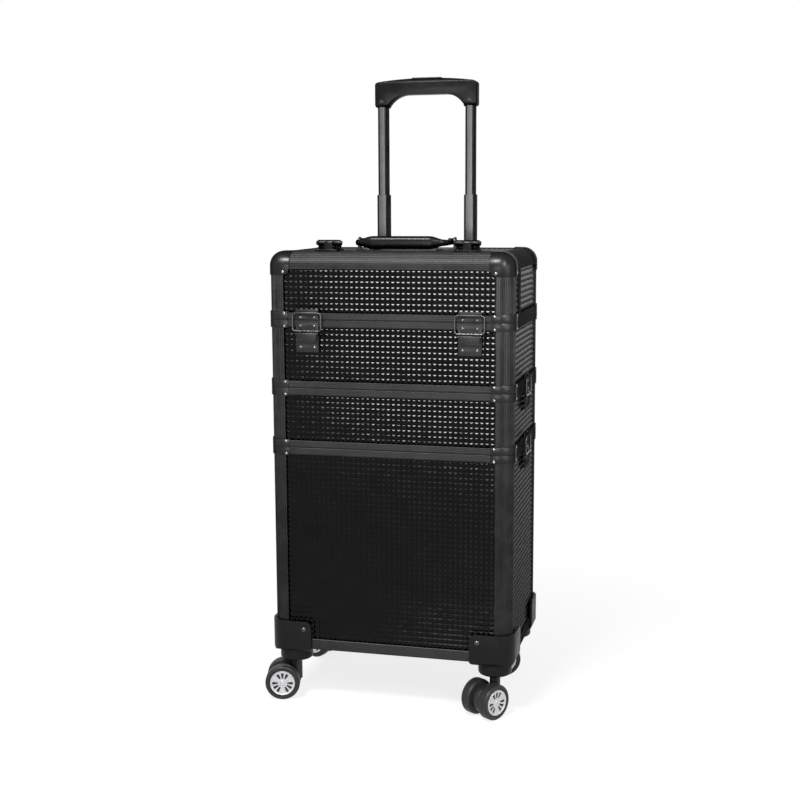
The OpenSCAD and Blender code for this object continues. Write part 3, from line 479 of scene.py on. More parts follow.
def finish(name, grey, rough, cast=0.0005, metal=0.0, tone=0.12, grain=(900, 900, 900),
           grain_depth=0.00002, mottle=40.0, rough_spread=0.08, wear=0.0, level=0.5, glance=1.0):
    """A solid finish with a faint blue cast: mottled tone, fine grain, uneven gloss and worn edges."""
    made = bpy.data.materials.new(name)
    made.use_nodes = True
    tree = made.node_tree
    shader = tree.nodes["Principled BSDF"]
    place = add_node(tree, "ShaderNodeTexCoord").outputs["Object"]
    stretched = add_node(tree, "ShaderNodeMapping", {"Vector": place, "Scale": grain})
    fine = add_node(tree, "ShaderNodeTexNoise", {
        "Vector": stretched.outputs[0], "Scale": 1.0, "Detail": 3.0, "Roughness": 0.6})
    broad = add_node(tree, "ShaderNodeTexNoise", {
        "Vector": place, "Scale": mottle, "Detail": 5.0, "Roughness": 0.6})
    mixed = arithmetic(tree, "ADD",
                       arithmetic(tree, "MULTIPLY", fine.outputs["Fac"], 0.5),
                       arithmetic(tree, "MULTIPLY", broad.outputs["Fac"], 0.5))
    ramp = add_node(tree, "ShaderNodeValToRGB", {"Fac": mixed})
    ends = ramp.color_ramp.elements
    for end, mark, share in ((ends[0], NOISE_LOW, 1 - tone), (ends[1], NOISE_HIGH, 1 + tone)):
        end.position = mark
        end.color = (grey * share, grey * share, (grey + cast) * share, 1)
    gloss = add_node(tree, "ShaderNodeMapRange", {
        "Value": mixed, "From Min": NOISE_LOW, "From Max": NOISE_HIGH,
        "To Min": rough - rough_spread, "To Max": rough + rough_spread})
    tint = ramp.outputs["Color"]
    if wear:
        rounded = add_node(tree, "ShaderNodeBevel", {"Radius": WORN_EDGE_R}, samples=4)
        true = add_node(tree, "ShaderNodeNewGeometry").outputs["Normal"]
        same = add_node(tree, "ShaderNodeVectorMath", {0: rounded.outputs[0], 1: true},
                        operation="DOT_PRODUCT")
        edge = add_node(tree, "ShaderNodeMapRange", {
            "Value": same.outputs["Value"], "From Min": 0.97, "From Max": 0.80,
            "To Min": 0.0, "To Max": wear})
        patches = add_node(tree, "ShaderNodeMapRange", {
            "Value": broad.outputs["Fac"], "From Min": 0.42, "From Max": 0.6})
        share = arithmetic(tree, "MULTIPLY", edge.outputs[0], patches.outputs[0])
        worn = add_node(tree, "ShaderNodeMix", {"Factor": share, 6: tint, 7: WORN_COLOUR},
                        data_type="RGBA")
        tint = worn.outputs[2]
    bump = add_node(tree, "ShaderNodeBump", {
        "Height": fine.outputs["Fac"], "Distance": grain_depth, "Strength": 1.0})
    for label, source in (("Base Color", tint), ("Roughness", gloss.outputs[0]),
                          ("Normal", bump.outputs[0])):
        tree.links.new(source, shader.inputs[label])
    shader.inputs["Metallic"].default_value = metal
    shader.inputs["Specular IOR Level"].default_value = level
    shader.inputs["Specular Tint"].default_value = (glance, glance, glance, 1)
    return made


def metal_finish(name, grey, rough, glance=0.4, **more):
    """A metal. Its grey is what it mirrors straight on, and its glance is the share at a flat angle."""
    return finish(name, grey, rough, metal=1.0, glance=glance, **more)


ALONG_Z = (2600, 2600, 25)
LEVEL = (25, 25, 2600)
# One black anodised post in three greys: the copies for the middle and the top are painted lighter, as
# painted light that falls off towards the bottom of the case
post_finish = metal_finish("Black anodised post", 0.028, 0.34, grain=ALONG_Z, wear=0.2)
top_lit_post_finish = metal_finish("Black anodised lid post", 0.034, 0.32, grain=ALONG_Z, wear=0.2)
half_lit_post_finish = metal_finish("Black anodised middle post", 0.033, 0.34, grain=ALONG_Z, wear=0.2)
cap_finish = metal_finish("Pressed corner", 0.025, 0.33, wear=0.15)
rim_finish = metal_finish("Black anodised rim", 0.03, 0.5, glance=0.25, grain=LEVEL, wear=0.2)
sheet_finish = metal_finish("Glossy black sheet", 0.011, 0.13, cast=0.0002, glance=0.5,
                            grain=(1500, 1500, 1500), grain_depth=0.00001, rough_spread=0.03)
lining_finish = finish("Black lining", 0.012, 0.9, cast=0.001, grain=(3000, 3000, 3000),
                       grain_depth=0.0001, level=0.2)
lacquer_finish = metal_finish("Black lacquered steel", 0.042, 0.33, wear=0.2)
guard_finish = finish("Moulded guard", 0.004, 0.42, cast=0.0001, grain=(2200, 2200, 2200),
                      grain_depth=0.00005, level=0.12)
screw_finish = finish("Black screw", 0.012, 0.2, level=0.6)
tube_finish = metal_finish("Anodised tube", 0.1, 0.34, cast=0.002, glance=0.2, grain=ALONG_Z)
# The tube's rounded corners are painted darker: a painted reflection of dark surroundings, not a finish
# of their own
tube_corner_shade_finish = metal_finish("Tube corner", 0.012, 0.4, glance=0.3, grain=ALONG_Z)
grip_finish = metal_finish("Soft grip", 0.016, 0.27, glance=0.3, grain=(2500, 2500, 2500),
                           grain_depth=0.00006)
button_finish = metal_finish("Button", 0.02, 0.35, glance=0.3)
caster_finish = finish("Caster body", 0.012, 0.36, level=0.25)
tyre_finish = finish("Tyre", 0.012, 0.4, level=0.25)
hubcap_finish = finish("Silver hubcap", 0.42, 0.3, cast=0.01, metal=0.5, tone=0.1, mottle=160.0)
wire_finish = metal_finish("Latch wire", 0.08, 0.25, cast=0.001, glance=1.0, tone=0.08)
hinge_finish = metal_finish("Dark hinge", 0.014, 0.28, wear=0.2)
lever_finish = metal_finish("Latch plate", 0.038, 0.45, glance=0.3, wear=0.2)
rivet_finish = metal_finish("Rivet head", 0.26, 0.22, cast=0.005, glance=1.0, tone=0.08)

SLOT_FINISHES = {
    "black_frame": rim_finish, "stud_panel": sheet_finish, "floor_board": lining_finish,
    "black_steel": lacquer_finish, "guard_plastic": guard_finish, "plain_steel": screw_finish,
    "handle_tube": tube_finish, "grip_plastic": grip_finish, "button_plastic": button_finish,
    "caster_plastic": caster_finish, "wheel_tyre": tyre_finish, "latch_wire": wire_finish,
    "latch_lever": lever_finish}


def finish_frame_nodes():
    """Every node that is carried over takes the finish of its slot."""
    for row in frame["record"]["subparts"]:
        item = frame["nodes"][row["node"]]
        item.data.materials.clear()
        item.data.materials.append(SLOT_FINISHES[row["material_slot"]])


# Placing, and studs
def axes_matrix(x, y, z, origin):
    """The matrix that carries the three axes and the origin to the given ones."""
    return Matrix((
        (x[0], y[0], z[0], origin[0]), (x[1], y[1], z[1], origin[1]),
        (x[2], y[2], z[2], origin[2]), (0, 0, 0, 1)))


def wall_matrix(across, up, centre):
    """Places a sheet made on z = 0, with its x across and its y up, facing out of the wall."""
    return axes_matrix(across, up, across.cross(up), centre)


# One stud: its half diagonal and its height are shares of the cell it fills and of its rise
STUD = moved(lathe([(0.7071, 0), (0.43, 0.354), (0.16, 0.914), (0.06, 1.0), (0, 1.0)], 4,
                   sheet_finish), Matrix.Rotation(math.pi / 4, 4, "Z"))


def studs(width, height, matrix, seed):
    empty = bpy.data.meshes.new("start")
    made = grown(STUD_SHEET, empty, STUD.copy(), Width=width, Height=height,
                 Columns=round(width / STUD_PITCH), Rows=round(height / STUD_PITCH),
                 Rise=STUD_RISE, Unevenness=STUD_TILT, Seed=seed, Material=sheet_finish)
    return moved(made, matrix)


def stud_wall(side, start, end, low, high, seed):
    """Studs on one wall: side is the outward direction, start to end runs across it."""
    across = Z.cross(side)
    depth = HALF_W - PANEL_IN if side.x else HALF_D - PANEL_IN
    middle = across * ((start + end) / 2) + side * depth + Z * ((low + high) / 2)
    return studs(end - start, high - low, wall_matrix(across, Z, middle), seed)


def tier_studs():
    half_x = HALF_W - FLANGE_W
    half_y = HALF_D - FLANGE_W
    sides = ((-Y, half_x), (X, half_y), (Y, half_x), (-X, half_y))
    for tier in TIERS:
        low = tier.foot + tier.foot_h
        sheets = [stud_wall(side, -half, half, low, tier.seam - RIM_H, tier.seed + k)
                  for k, (side, half) in enumerate(sides)]
        piece(tier.name + "_studs", sheets, tier.body, crease=1)


def lid_studs():
    half_x = HALF_W - FLANGE_W
    half_y = HALF_D - FLANGE_W
    low = SEAM1 + RIM_H
    high = TOP - FLANGE_W
    for name, body, facing, start, end, seed in (
            ("flap_studs", "flap", -Y, -half_y, SPLIT_Y - CLEAR_STRIP, 41),
            ("lid_studs", "top_tier", Y, SPLIT_Y + CLEAR_STRIP, half_y, 51)):
        middle = Vector((0, (start + end) / 2, TOP - PANEL_IN))
        sheets = [stud_wall(facing, -half_x, half_x, low, high, seed),
                  stud_wall(X, start, end, low, high, seed + 1),
                  stud_wall(-X, -end, -start, low, high, seed + 2),
                  studs(2 * half_x, end - start, wall_matrix(X, Y, middle), seed + 3)]
        piece(name, sheets, body, crease=1)


# Extruded profiles
def arc(centre_x, centre_y, radius, start, end, steps):
    """Points round a centre, from one angle to another, in degrees."""
    angles = [math.radians(start + (end - start) * i / steps) for i in range(steps + 1)]
    return [(centre_x + radius * math.cos(a), centre_y + radius * math.sin(a)) for a in angles]


def fluted(points, pitch, deep):
    """The same open line with narrow flutes cut to its left at a steady pitch."""
    lengths = [math.dist(a, b) for a, b in zip(points, points[1:])]
    total = sum(lengths)
    count = round(total / pitch)
    step = total / count
    marks = [(total * i / count + step * share, cut) for i in range(count)
             for share, cut in FLUTE_MARKS]
    made = []
    for left, cut in marks + [(total, 0)]:
        for (a, b), length in zip(zip(points, points[1:]), lengths):
            if left <= length or (a, b) == (points[-2], points[-1]):
                break
            left -= length
        share = left / length
        along = ((b[0] - a[0]) / length, (b[1] - a[1]) / length)
        inward = deep * cut
        made.append((a[0] + (b[0] - a[0]) * share - along[1] * inward,
                     a[1] + (b[1] - a[1]) * share + along[0] * inward))
    return made


def bent_lines(leg, r, t, steps):
    """A bent section's outer and inner line. Its outer corner is at (0, 0), and it lies behind that."""
    outer = [(0, -leg)] + arc(-r, -r, r, 0, 90, steps) + [(-leg, 0)]
    inner = [(-leg, -t)] + arc(-r, -r, r - t, 90, 0, 12) + [(-t, -leg)]
    return outer, inner


def corner_section():
    """The fluted section of an upright profile."""
    outer, inner = bent_lines(FLANGE_W - RIM_LAP, EDGE_R - RIM_LAP, PROFILE_T, 24)
    return fluted(outer, FLUTE_PITCH, FLUTE_DEEP) + inner


def bar(section, length, matrix, material, holes=()):
    """A straight bar of the section, from the matrix's origin along its z."""
    made = grown(BAR, line_data([section, *holes], True), Length=length, Material=material)
    return moved(made, matrix)


def corner_place(sx, sy, out, z):
    """Carries a form of the right rear corner to any corner, at a distance out from the walls."""
    return (Matrix.Translation((sx * (HALF_W + out), sy * (HALF_D + out), z))
            @ Matrix.Diagonal((sx, sy, 1, 1)))


def post(sx, sy, low, high, material):
    return bar(corner_section(), high - low, corner_place(sx, sy, -RIM_LAP, low), material)


def rounded_oblong(half_w, half_d, r, steps):
    """An oblong with round corners, counter-clockwise from the right front."""
    w = half_w - r
    d = half_d - r
    points = []
    for x, y, start in ((w, -d, -90), (w, d, 0), (-w, d, 90), (-w, -d, 180)):
        points += arc(x, y, r, start, start + 90, steps)
    return points


def plan_path(z):
    """The case's outline at a height."""
    return [(x, y, z) for x, y in rounded_oblong(HALF_W, HALF_D, EDGE_R, 10)]


def outer_face(low, high):
    """The outer face of a rim from low to high, with eased edges and flutes. x is outward, y is down."""
    line = [(0, -low - RIM_EASE), (0, -high + RIM_EASE)]
    return [(-RIM_EASE, -low)] + fluted(line, RIM_FLUTE_PITCH, RIM_FLUTE_DEEP) + [(-RIM_EASE, -high)]


def lower_section(height):
    """The channel under a tier, its foot at y = 0."""
    return outer_face(0, height) + [
        (-RIM_T, -height), (-RIM_T, -RIM_T), (-LEG_IN, -RIM_T), (-LEG_IN, -height),
        (-INNER_IN, -height), (-INNER_IN, 0)]


def upper_section():
    """The channel on top of a tier with its tongue, its top face at y = 0."""
    return outer_face(-RIM_H, 0) + [
        (-TONGUE_IN, 0), (-TONGUE_IN, -TONGUE_H), (-TONGUE_BACK, -TONGUE_H), (-TONGUE_BACK, RIM_T),
        (-INNER_IN, RIM_T), (-INNER_IN, RIM_H), (-LEG_IN, RIM_H), (-LEG_IN, RIM_T), (-RIM_T, RIM_T),
        (-RIM_T, RIM_H)]


def swept(section, path, closed):
    made = grown(SWEEP, line_data([path], closed), line_data([section], True), Material=rim_finish)
    form = form_of(made)
    bmesh.ops.remove_doubles(form, verts=form.verts, dist=NEAREST)
    bmesh.ops.recalc_face_normals(form, faces=form.faces)
    return mesh_of(form, made)


# A tier stands with a gap on its foot, with a rim of foot_h above that, and ends at its seam
Tier = namedtuple("Tier", "name body foot foot_h gap seam material seed")
# The posts and brackets of the upper tiers take the copies of the post finish that are painted lighter
TIERS = (Tier("bin", "bin", BASE, BAND_H, 0, SEAM3, post_finish, 1),
         Tier("middle", "middle_tier", SEAM3, RIM_H, SEAM_GAP, SEAM2, half_lit_post_finish, 11),
         Tier("top", "top_tier", SEAM2, RIM_H, SEAM_GAP, SEAM1, top_lit_post_finish, 21))


def frames():
    for tier in TIERS:
        posts = [post(sx, sy, tier.foot + tier.foot_h, tier.seam - RIM_H, tier.material)
                 for sx in (-1, 1) for sy in (-1, 1)]
        piece(tier.name + "_fluted_posts", posts, tier.body,
              [tier.name + "_corner_posts"])
    for tier in TIERS:
        rings = [swept(lower_section(tier.foot_h - tier.gap), plan_path(tier.foot + tier.gap), True),
                 swept(upper_section(), plan_path(tier.seam), True)]
        piece(tier.name + "_fluted_rims", rings, tier.body, [tier.name + "_rims"])


def open_path(z, y, front):
    """The outline from the groove round the front, or round the back, to the groove again."""
    outline = plan_path(z)
    quarter = len(outline) // 4
    turns = outline[-quarter:] + outline[:quarter] if front else outline[quarter:-quarter]
    side = -HALF_W if front else HALF_W
    return [(side, y, z)] + turns + [(-side, y, z)]


def arch(outside, inside, low, front, back):
    """An upside-down U between two insets of the lid, from its front to its back."""
    sides = []
    for inset in (outside, inside):
        r = EDGE_R - inset
        w = HALF_W - inset
        top = TOP - inset
        sides.append([(w, low)] + arc(w - r, top - r, r, 0, 90, 10)
                     + arc(-w + r, top - r, r, 90, 180, 10) + [(-w, low)])
    place = axes_matrix(X, Z, -Y, (0, back, 0))
    return bar(sides[0] + sides[1][::-1], back - front, place, rim_finish)


def top_profiles(y0, y1, end):
    """The profiles along both top side edges from y0 to y1, and the one along the top end edge."""
    high = TOP - RIM_LAP
    c = HALF_W - EDGE_R
    bars = [bar(corner_section(), y1 - y0,
                axes_matrix(X * s, Z, -Y, (s * (HALF_W - RIM_LAP), y1, high)), rim_finish)
            for s in (-1, 1)]
    bars.append(bar(corner_section(), 2 * c,
                    axes_matrix(Y * end, Z, X, (-c, end * (HALF_D - RIM_LAP), high)), rim_finish))
    return bars


def short_posts(end):
    """The two upright profiles under the lid's ball corners, in front or behind."""
    return [post(s, end, SEAM1 + RIM_H, TOP - EDGE_R, top_lit_post_finish) for s in (-1, 1)]


def lid_frames():
    back = SPLIT_Y + FLAP_GAP / 2
    front = SPLIT_Y - FLAP_GAP / 2
    straight = HALF_D - EDGE_R
    lip = INNER_IN + LIP_GAP
    lip_foot = SEAM1 + TONGUE_H + LIP_UP
    low = SEAM1 + RIM_H
    lid = [swept(lower_section(RIM_H), open_path(SEAM1, back, False), False)]
    lid += top_profiles(back, straight, 1) + short_posts(1)
    lid.append(arch(LEG_IN, lip + LEG_T, lip_foot, back, back + ARCH_W))
    lid.append(arch(lip, lip + LEG_T, lip_foot, back - LIP_REACH, back + ARCH_W))
    lid.append(arch(TRIM_IN, PANEL_IN, low, back, back + TRIM_W))
    piece("lid_fluted_frame", lid, "top_tier", ["lid_frame"])
    flap = [swept(lower_section(RIM_H - SEAM_GAP), open_path(SEAM1 + SEAM_GAP, front, True), False)]
    flap += top_profiles(-straight, front, -1) + short_posts(-1)
    flap.append(arch(LEG_IN, INNER_IN, low, front - ARCH_W, front))
    flap.append(arch(TRIM_IN, PANEL_IN, low, front - TRIM_W, front))
    piece("flap_fluted_frame", flap, "flap", ["flap_frame"])


# Rivets, brackets and ball corners
RIVET = lathe([(0.0021, 0), (0.0021, 0.0003), (0.0018, 0.00075), (0.0011, 0.0011), (0, 0.0012)],
              12, rivet_finish)


def rivets(places, size=1.0):
    """Domed rivet heads at (place, facing)."""
    mesh = bpy.data.meshes.new("places")
    mesh.from_pydata([place for place, facing in places], [], [])
    facings = mesh.attributes.new("facing", "FLOAT_VECTOR", "POINT")
    facings.data.foreach_set("vector", [part for place, facing in places for part in facing])
    return grown(COPIES, mesh, RIVET.copy(), Size=size, Material=rivet_finish)


def bracket(sx, sy, low, rivet_z, material):
    """A sheet bracket round a corner, with a rivet on each face."""
    out = BRACKET_T
    outer, inner = bent_lines(BRACKET_W + out, EDGE_R + out, out, 12)
    sheet = bar(outer + inner, BRACKET_H, corner_place(sx, sy, out, low), material)
    heads = [((sx * (HALF_W - BRACKET_RIVET), sy * (HALF_D + out), rivet_z), (0, sy, 0)),
             ((sx * (HALF_W + out), sy * (HALF_D - BRACKET_RIVET), rivet_z), (sx, 0, 0))]
    return [eased(sheet, SHEET_EASE, material), rivets(heads, BRACKET_RIVET_SIZE)]


def brackets(seam, side, material, ends=(-1, 1)):
    """Brackets that end at a seam: above it where side is 1, below it where side is -1."""
    start = seam + SEAM_GAP if side > 0 else seam
    low = start if side > 0 else start - BRACKET_H
    made = []
    for sx in (-1, 1):
        for sy in ends:
            made += bracket(sx, sy, low, start + side * SEAM_RIVET, material)
    return made


def cap_point(face, u, v):
    """A point of a ball corner, about the sphere's centre: u and v run from -arm to the radius."""
    q = {0: (CAP_R, u, v), 1: (v, CAP_R, u), 2: (u, v, CAP_R)}[face]
    core = Vector([min(c, 0) for c in q])
    return core + (Vector(q) - core).normalized() * CAP_R


def ball_corner(sx, sy):
    """A pressed corner of three lobes over a lid corner, with a rivet on each upright face."""
    form = bmesh.new()
    marks = [-CAP_ARM + (CAP_ARM + CAP_R) * k / CAP_STEPS for k in range(CAP_STEPS + 1)]
    for face in range(3):
        rows = []
        for u in marks:
            row = []
            for v in marks:
                both_out = u < 0 and v < 0
                share = (max(-u, -v) / math.hypot(u, v)) ** CAP_ROUNDING if both_out else 1
                row.append(form.verts.new(cap_point(face, u * share, v * share)))
            rows.append(row)
        for a, b in zip(rows, rows[1:]):
            for j in range(CAP_STEPS):
                form.faces.new((a[j], b[j], b[j + 1], a[j + 1]))
    bmesh.ops.remove_doubles(form, verts=form.verts, dist=NEAR)
    bmesh.ops.recalc_face_normals(form, faces=form.faces)
    cap = eased(mesh_of(form), SHEET_EASE, cap_finish, thickness=CAP_T)
    place = corner_place(sx, sy, -EDGE_R, TOP - EDGE_R)
    heads = [(place @ Vector((-CAP_RIVET_SIDE, CAP_R, -CAP_RIVET_DOWN)), Y * sy),
             (place @ Vector((CAP_R, -CAP_RIVET_SIDE, -CAP_RIVET_DOWN)), X * sx)]
    return [moved(cap, place), rivets(heads)]


def corner_fittings():
    for tier in TIERS:
        made = brackets(tier.foot, 1, tier.material) if tier.gap else []
        made += brackets(tier.seam, -1, tier.material)
        piece(tier.name + "_brackets", made, tier.body,
              [tier.name + "_corner_brackets"])
    for name, body, y in (("lid", "top_tier", 1), ("flap", "flap", -1)):
        corners = ball_corner(-1, y) + ball_corner(1, y) + brackets(SEAM1, 1, top_lit_post_finish, [y])
        piece(name + "_corners", corners, body, [name + "_ball_corners"])


# Latches
def latch_spots(seam, zs, front):
    """Rivet places of the latches at a seam, on the front or on both sides."""
    spots = []
    for s in (-1, 1):
        for k in (-1, 1):
            for z in zs:
                if front:
                    spots.append(((s * LATCH_X + k * LATCH_RIVET_X, -HALF_D - LATCH_T, seam + z),
                                  (0, -1, 0)))
                else:
                    spots.append(((s * (HALF_W + LATCH_T), k * LATCH_RIVET_X, seam + z), (s, 0, 0)))
    return spots


def latch_plates():
    up = [CATCH_RIVET_Z]
    down = [BASE_RIVET_Z]
    fronts = latch_spots(SEAM1, down + [FRONT_BASE_RIVET_Z], True)
    for name, body, spots in (
            ("bin", "bin", latch_spots(SEAM3, down, False)),
            ("middle", "middle_tier",
             latch_spots(SEAM3, up, False) + latch_spots(SEAM2, down, False)),
            ("top", "top_tier", latch_spots(SEAM2, up, False) + fronts),
            ("flap", "flap", latch_spots(SEAM1, up, True))):
        node = name + "_latch_plates"
        plates = softened(node, 0.00035, lever_finish)
        piece(name + "_plates", [plates, rivets(spots, LATCH_RIVET_SIZE)], body, [node])


def latch_parts(part, ending, slot, width, material, crease=32):
    """The moving part of every latch, on its own body."""
    for latch in LATCHES:
        node = latch + part
        soft_piece(node + ending, node, node, slot, width, material, crease)


# Guards and sockets
def guards():
    soft_piece("guards", "bottom_corner_guards", "bin", "guard_plastic", 0.0013, guard_finish, 50,
               segments=3)
    soft_piece("sockets", "caster_sockets", "bin", "guard_plastic", 0.0006, guard_finish)


# Telescopic handle
def tube_section(width, depth):
    return rounded_oblong(width / 2, depth / 2, TUBE_R, 6)


def tube(width, depth, place, low, high):
    """A hollow tube whose corners, which face neither along x nor along y, take a darker finish: a
    painted dark reflection on the rounded corners.
    """
    hole = tube_section(width - 2 * TUBE_T, depth - 2 * TUBE_T)
    made = bar(tube_section(width, depth), high - low, Matrix.Translation((*place, low)), tube_finish,
               [hole])
    made.materials.append(tube_corner_shade_finish)
    for face in made.polygons:
        straight = max(abs(part) for part in face.normal) >= STRAIGHT
        face.material_index = 0 if straight else 1
    return made


def span(points):
    """The lowest and the highest x, y and z of some points."""
    return [[pick(p[k] for p in points) for k in range(3)] for pick in (min, max)]


def telescope():
    for stage in ("lower_stage", "upper_stage"):
        node = stage + "_tubes"
        points = [v.co for v in frame["nodes"][node].data.vertices if v.co.x > 0]
        low, high = span(points)
        near, far = span([p for p in points if p.z > high[2] - SLIVER])
        tubes = []
        for s in (-1, 1):
            place = (s * (near[0] + far[0]) / 2, (near[1] + far[1]) / 2)
            guide = bar(tube_section(high[0] - low[0], high[1] - low[1]), PLUG_H,
                        Matrix.Translation((*place, low[2])), grip_finish)
            tubes += [guide, tube(far[0] - near[0], far[1] - near[1], place, low[2] + PLUG_H, high[2])]
        piece(stage + "_pair", tubes, stage, [node], crease=50)


def soft_fittings():
    """The fittings of the handles and hinges that keep the frame's form."""
    for node, body, slot, width, material in (
            ("handle_grip", "upper_stage", "grip_plastic", 0.0022, grip_finish),
            ("grip_button", "grip_button", "button_plastic", 0.0010, button_finish),
            ("carry_handle_brackets", "top_tier", "black_steel", 0.0004, lacquer_finish),
            ("lid_hinge_leaves", "top_tier", "black_steel", 0.0004, hinge_finish),
            ("flap_hinge_leaves", "flap", "black_steel", 0.0004, hinge_finish),
            ("outer_tubes", "bin", "handle_tube", 0.0006, tube_finish),
            ("tube_clamps", "bin", "guard_plastic", 0.0006, guard_finish)):
        soft_piece(node + "_soft", node, body, slot, width, material, 50, bevel_angle=40, segments=3)


# Carry handle
def oblong(a, b):
    """A soft-cornered oblong of half sizes a and b, as (across, up)."""
    power = 3.0
    count = 32
    turns = [2 * math.pi * k / count for k in range(count)]
    return [tuple(half * math.copysign(abs(part) ** (2 / power), part)
                  for half, part in ((a, math.cos(t)), (b, math.sin(t)))) for t in turns]


def carry_handle():
    """A grip that is full in its middle, narrows at both ends and turns back to the pivots."""
    low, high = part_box("carry_handle")
    full = (high.z - low.z) / 2
    mid_z = (high.z + low.z) / 2
    reach = low.y + full
    arm_x = high.x - CARRY_ARM
    # Stations of the right half: x, y and the share of the full size
    line = [(x, reach, share) for x, share in (
        (0, 1.0), (0.020, 1.0), (0.040, 1.0), (0.043, 0.985), (0.047, 0.90), (0.051, 0.76),
        (0.055, 0.62), (0.058, 0.54))]
    turn = arc(arm_x - CARRY_TURN_R, reach + CARRY_TURN_R, CARRY_TURN_R, -90, 0, 6)
    line += [(x, y, 0.54 - 0.02 * k) for k, (x, y) in enumerate(turn) if k]
    line += [(arm_x, reach / 2, 0.42), (arm_x, -0.002, 0.42), (arm_x, 0.0035, 0.36)]
    line = [(-x, y, share) for x, y, share in line[:0:-1]] + line
    rings = []
    for k, (x, y, share) in enumerate(line):
        before = line[max(k - 1, 0)]
        after = line[min(k + 1, len(line) - 1)]
        along = Vector((after[0] - before[0], after[1] - before[1], 0)).normalized()
        across = along.cross(Z)
        wide = full * share * CARRY_FLATNESS
        if share < 0.5:
            wide = min(wide, CARRY_ARM - CARRY_GAP)
        rings.append([Vector((x, y, mid_z)) + across * u + Z * v
                      for u, v in oblong(wide, full * share)])
    made = [loft(rings, grip_finish)]
    pivot = Vector((0, 0, CARRY_PIVOT_UP + TOP))
    for s in (-1, 1):
        hub = lathe([(0, 0), (HUB_FACE_R, 0), (HUB_R, HUB_EASE), (HUB_R, HUB_H - HUB_EASE),
                     (HUB_FACE_R, HUB_H), (0, HUB_H)], 24, grip_finish)
        place = pivot + X * s * (high.x - HUB_H - SLIVER)
        made.append(moved(hub, axes_matrix(Y, Z * s, X * s, place)))
    piece("carry_grip", made, "carry_handle", ["carry_handle"], crease=40)


# Casters
def caster_matrix(corner):
    sx, sy, turn = CORNERS[corner]
    return (Matrix.Translation((sx * (HALF_W - CASTER_IN), sy * (HALF_D - CASTER_IN), 0))
            @ Matrix.Rotation(math.radians(turn), 4, "Z"))


def tyre():
    """A tyre with two tread grooves and a stepped side, its inner face at z = 0."""
    r = WHEEL_R
    w = WHEEL_W
    bend = r - SHOULDER_R
    seat = w - HUBCAP_SEAT_IN
    side_r = r - 0.0045
    profile = [(AXLE_HOLE_R, 0), (side_r - 0.0005, 0), (side_r, 0.0003)]
    profile += arc(bend, SHOULDER_R, SHOULDER_R, -90, 0, 6)
    for share in (0.36, 0.64):
        for deep, off in ((0, -2), (TREAD_DEEP, -1), (TREAD_DEEP, 1), (0, 2)):
            profile.append((r - deep, w * share + off * TREAD_STEP))
    profile += arc(bend, w - SHOULDER_R, SHOULDER_R, 0, 90, 6)
    profile += [(side_r, w - 0.0002), (HUBCAP_SEAT_R + 0.0006, w - 0.0004), (HUBCAP_SEAT_R, seat),
                (AXLE_HOLE_R, seat)]
    return lathe(profile, 72, tyre_finish)


def hubcap():
    """A dished cap with three groups of three slots that widen outwards, standing on z = 0."""
    groups = (90, 210, 330)
    narrow = SLOT_HALF * 0.66
    slots = [group + off for group in groups for off in (-SLOT_STEP, 0, SLOT_STEP)]
    marks = [slot + off for slot in slots for off in (-SLOT_HALF, -narrow, 0, narrow, SLOT_HALF)]
    # The wide spokes between the groups have marks of their own
    marks += [group + 60 + off for group in groups for off in (-14, -7, 0, 7, 14)]
    turns = sorted({round(mark % 360, 3) for mark in marks})
    profile = [(0.0016, 0.0016), (0.0030, 0.0016), (0.0036, 0.0010), (0.0058, 0.0007),
               (0.0066, 0.0007), (0.0074, 0.0007), (0.0100, 0.0008), (0.0128, 0.0010),
               (0.0142, 0.0011), (0.0150, 0.0012), (0.0164, 0.0013), (0.0172, 0.0018),
               (0.0177, 0.0018), (0.0180, 0.0014), (0.0181, 0.0000)]
    # The slots run from one of these rings of faces to the other, and are narrow in both
    slot_low, slot_high = 4, 8
    form = bmesh.new()
    rings = [[form.verts.new((r * math.cos(math.radians(a)), r * math.sin(math.radians(a)), z))
              for a in turns] for r, z in profile]
    form.faces.new(rings[0])
    cut = []
    for k, (low, high) in enumerate(zip(rings, rings[1:])):
        for i, turn in enumerate(turns):
            j = (i + 1) % len(turns)
            made = form.faces.new((low[i], high[i], high[j], low[j]))
            middle = turn + (turns[j] - turn) % 360 / 2
            off = min(abs((middle - slot + 180) % 360 - 180) for slot in slots)
            reach = narrow if k in (slot_low, slot_high) else SLOT_HALF
            if slot_low <= k <= slot_high and off < reach:
                cut.append(made)
    sunk = bmesh.ops.extrude_face_region(form, geom=cut)["geom"]
    bmesh.ops.translate(form, vec=(0, 0, -SLOT_DEEP), verts=[
        part for part in sunk if isinstance(part, bmesh.types.BMVert)])
    bmesh.ops.delete(form, geom=cut, context="FACES")
    for part in sunk:
        if isinstance(part, bmesh.types.BMFace):
            part.material_index = 1
    bmesh.ops.recalc_face_normals(form, faces=form.faces)
    # The extrusion leaves another order at each run, so one is set here
    order = Vector((1, 0.618, 0.382))
    form.verts.sort(key=lambda vert: vert.co.dot(order))
    form.faces.sort(key=lambda face: face.calc_center_median().dot(order))
    mesh = mesh_of(form)
    mesh.materials.append(hubcap_finish)
    mesh.materials.append(caster_finish)
    return mesh


def wheel_pair(corner):
    """Two wheels of a caster with their hubcaps."""
    at = caster_matrix(corner) @ Matrix.Translation((-TRAIL, 0, WHEEL_R))
    seat = Matrix.Translation((0, 0, WHEEL_W - HUBCAP_SEAT_IN - SLIVER))
    made = []
    for s in (-1, 1):
        spin = axes_matrix(X, Z * -s, Y * s, (0, s * (WHEEL_PITCH - WHEEL_W) / 2, 0))
        upright = Matrix.Rotation(0 if s < 0 else math.pi, 4, "Z")
        made += [moved(tyre(), at @ spin), moved(hubcap(), at @ spin @ seat @ upright)]
    return made


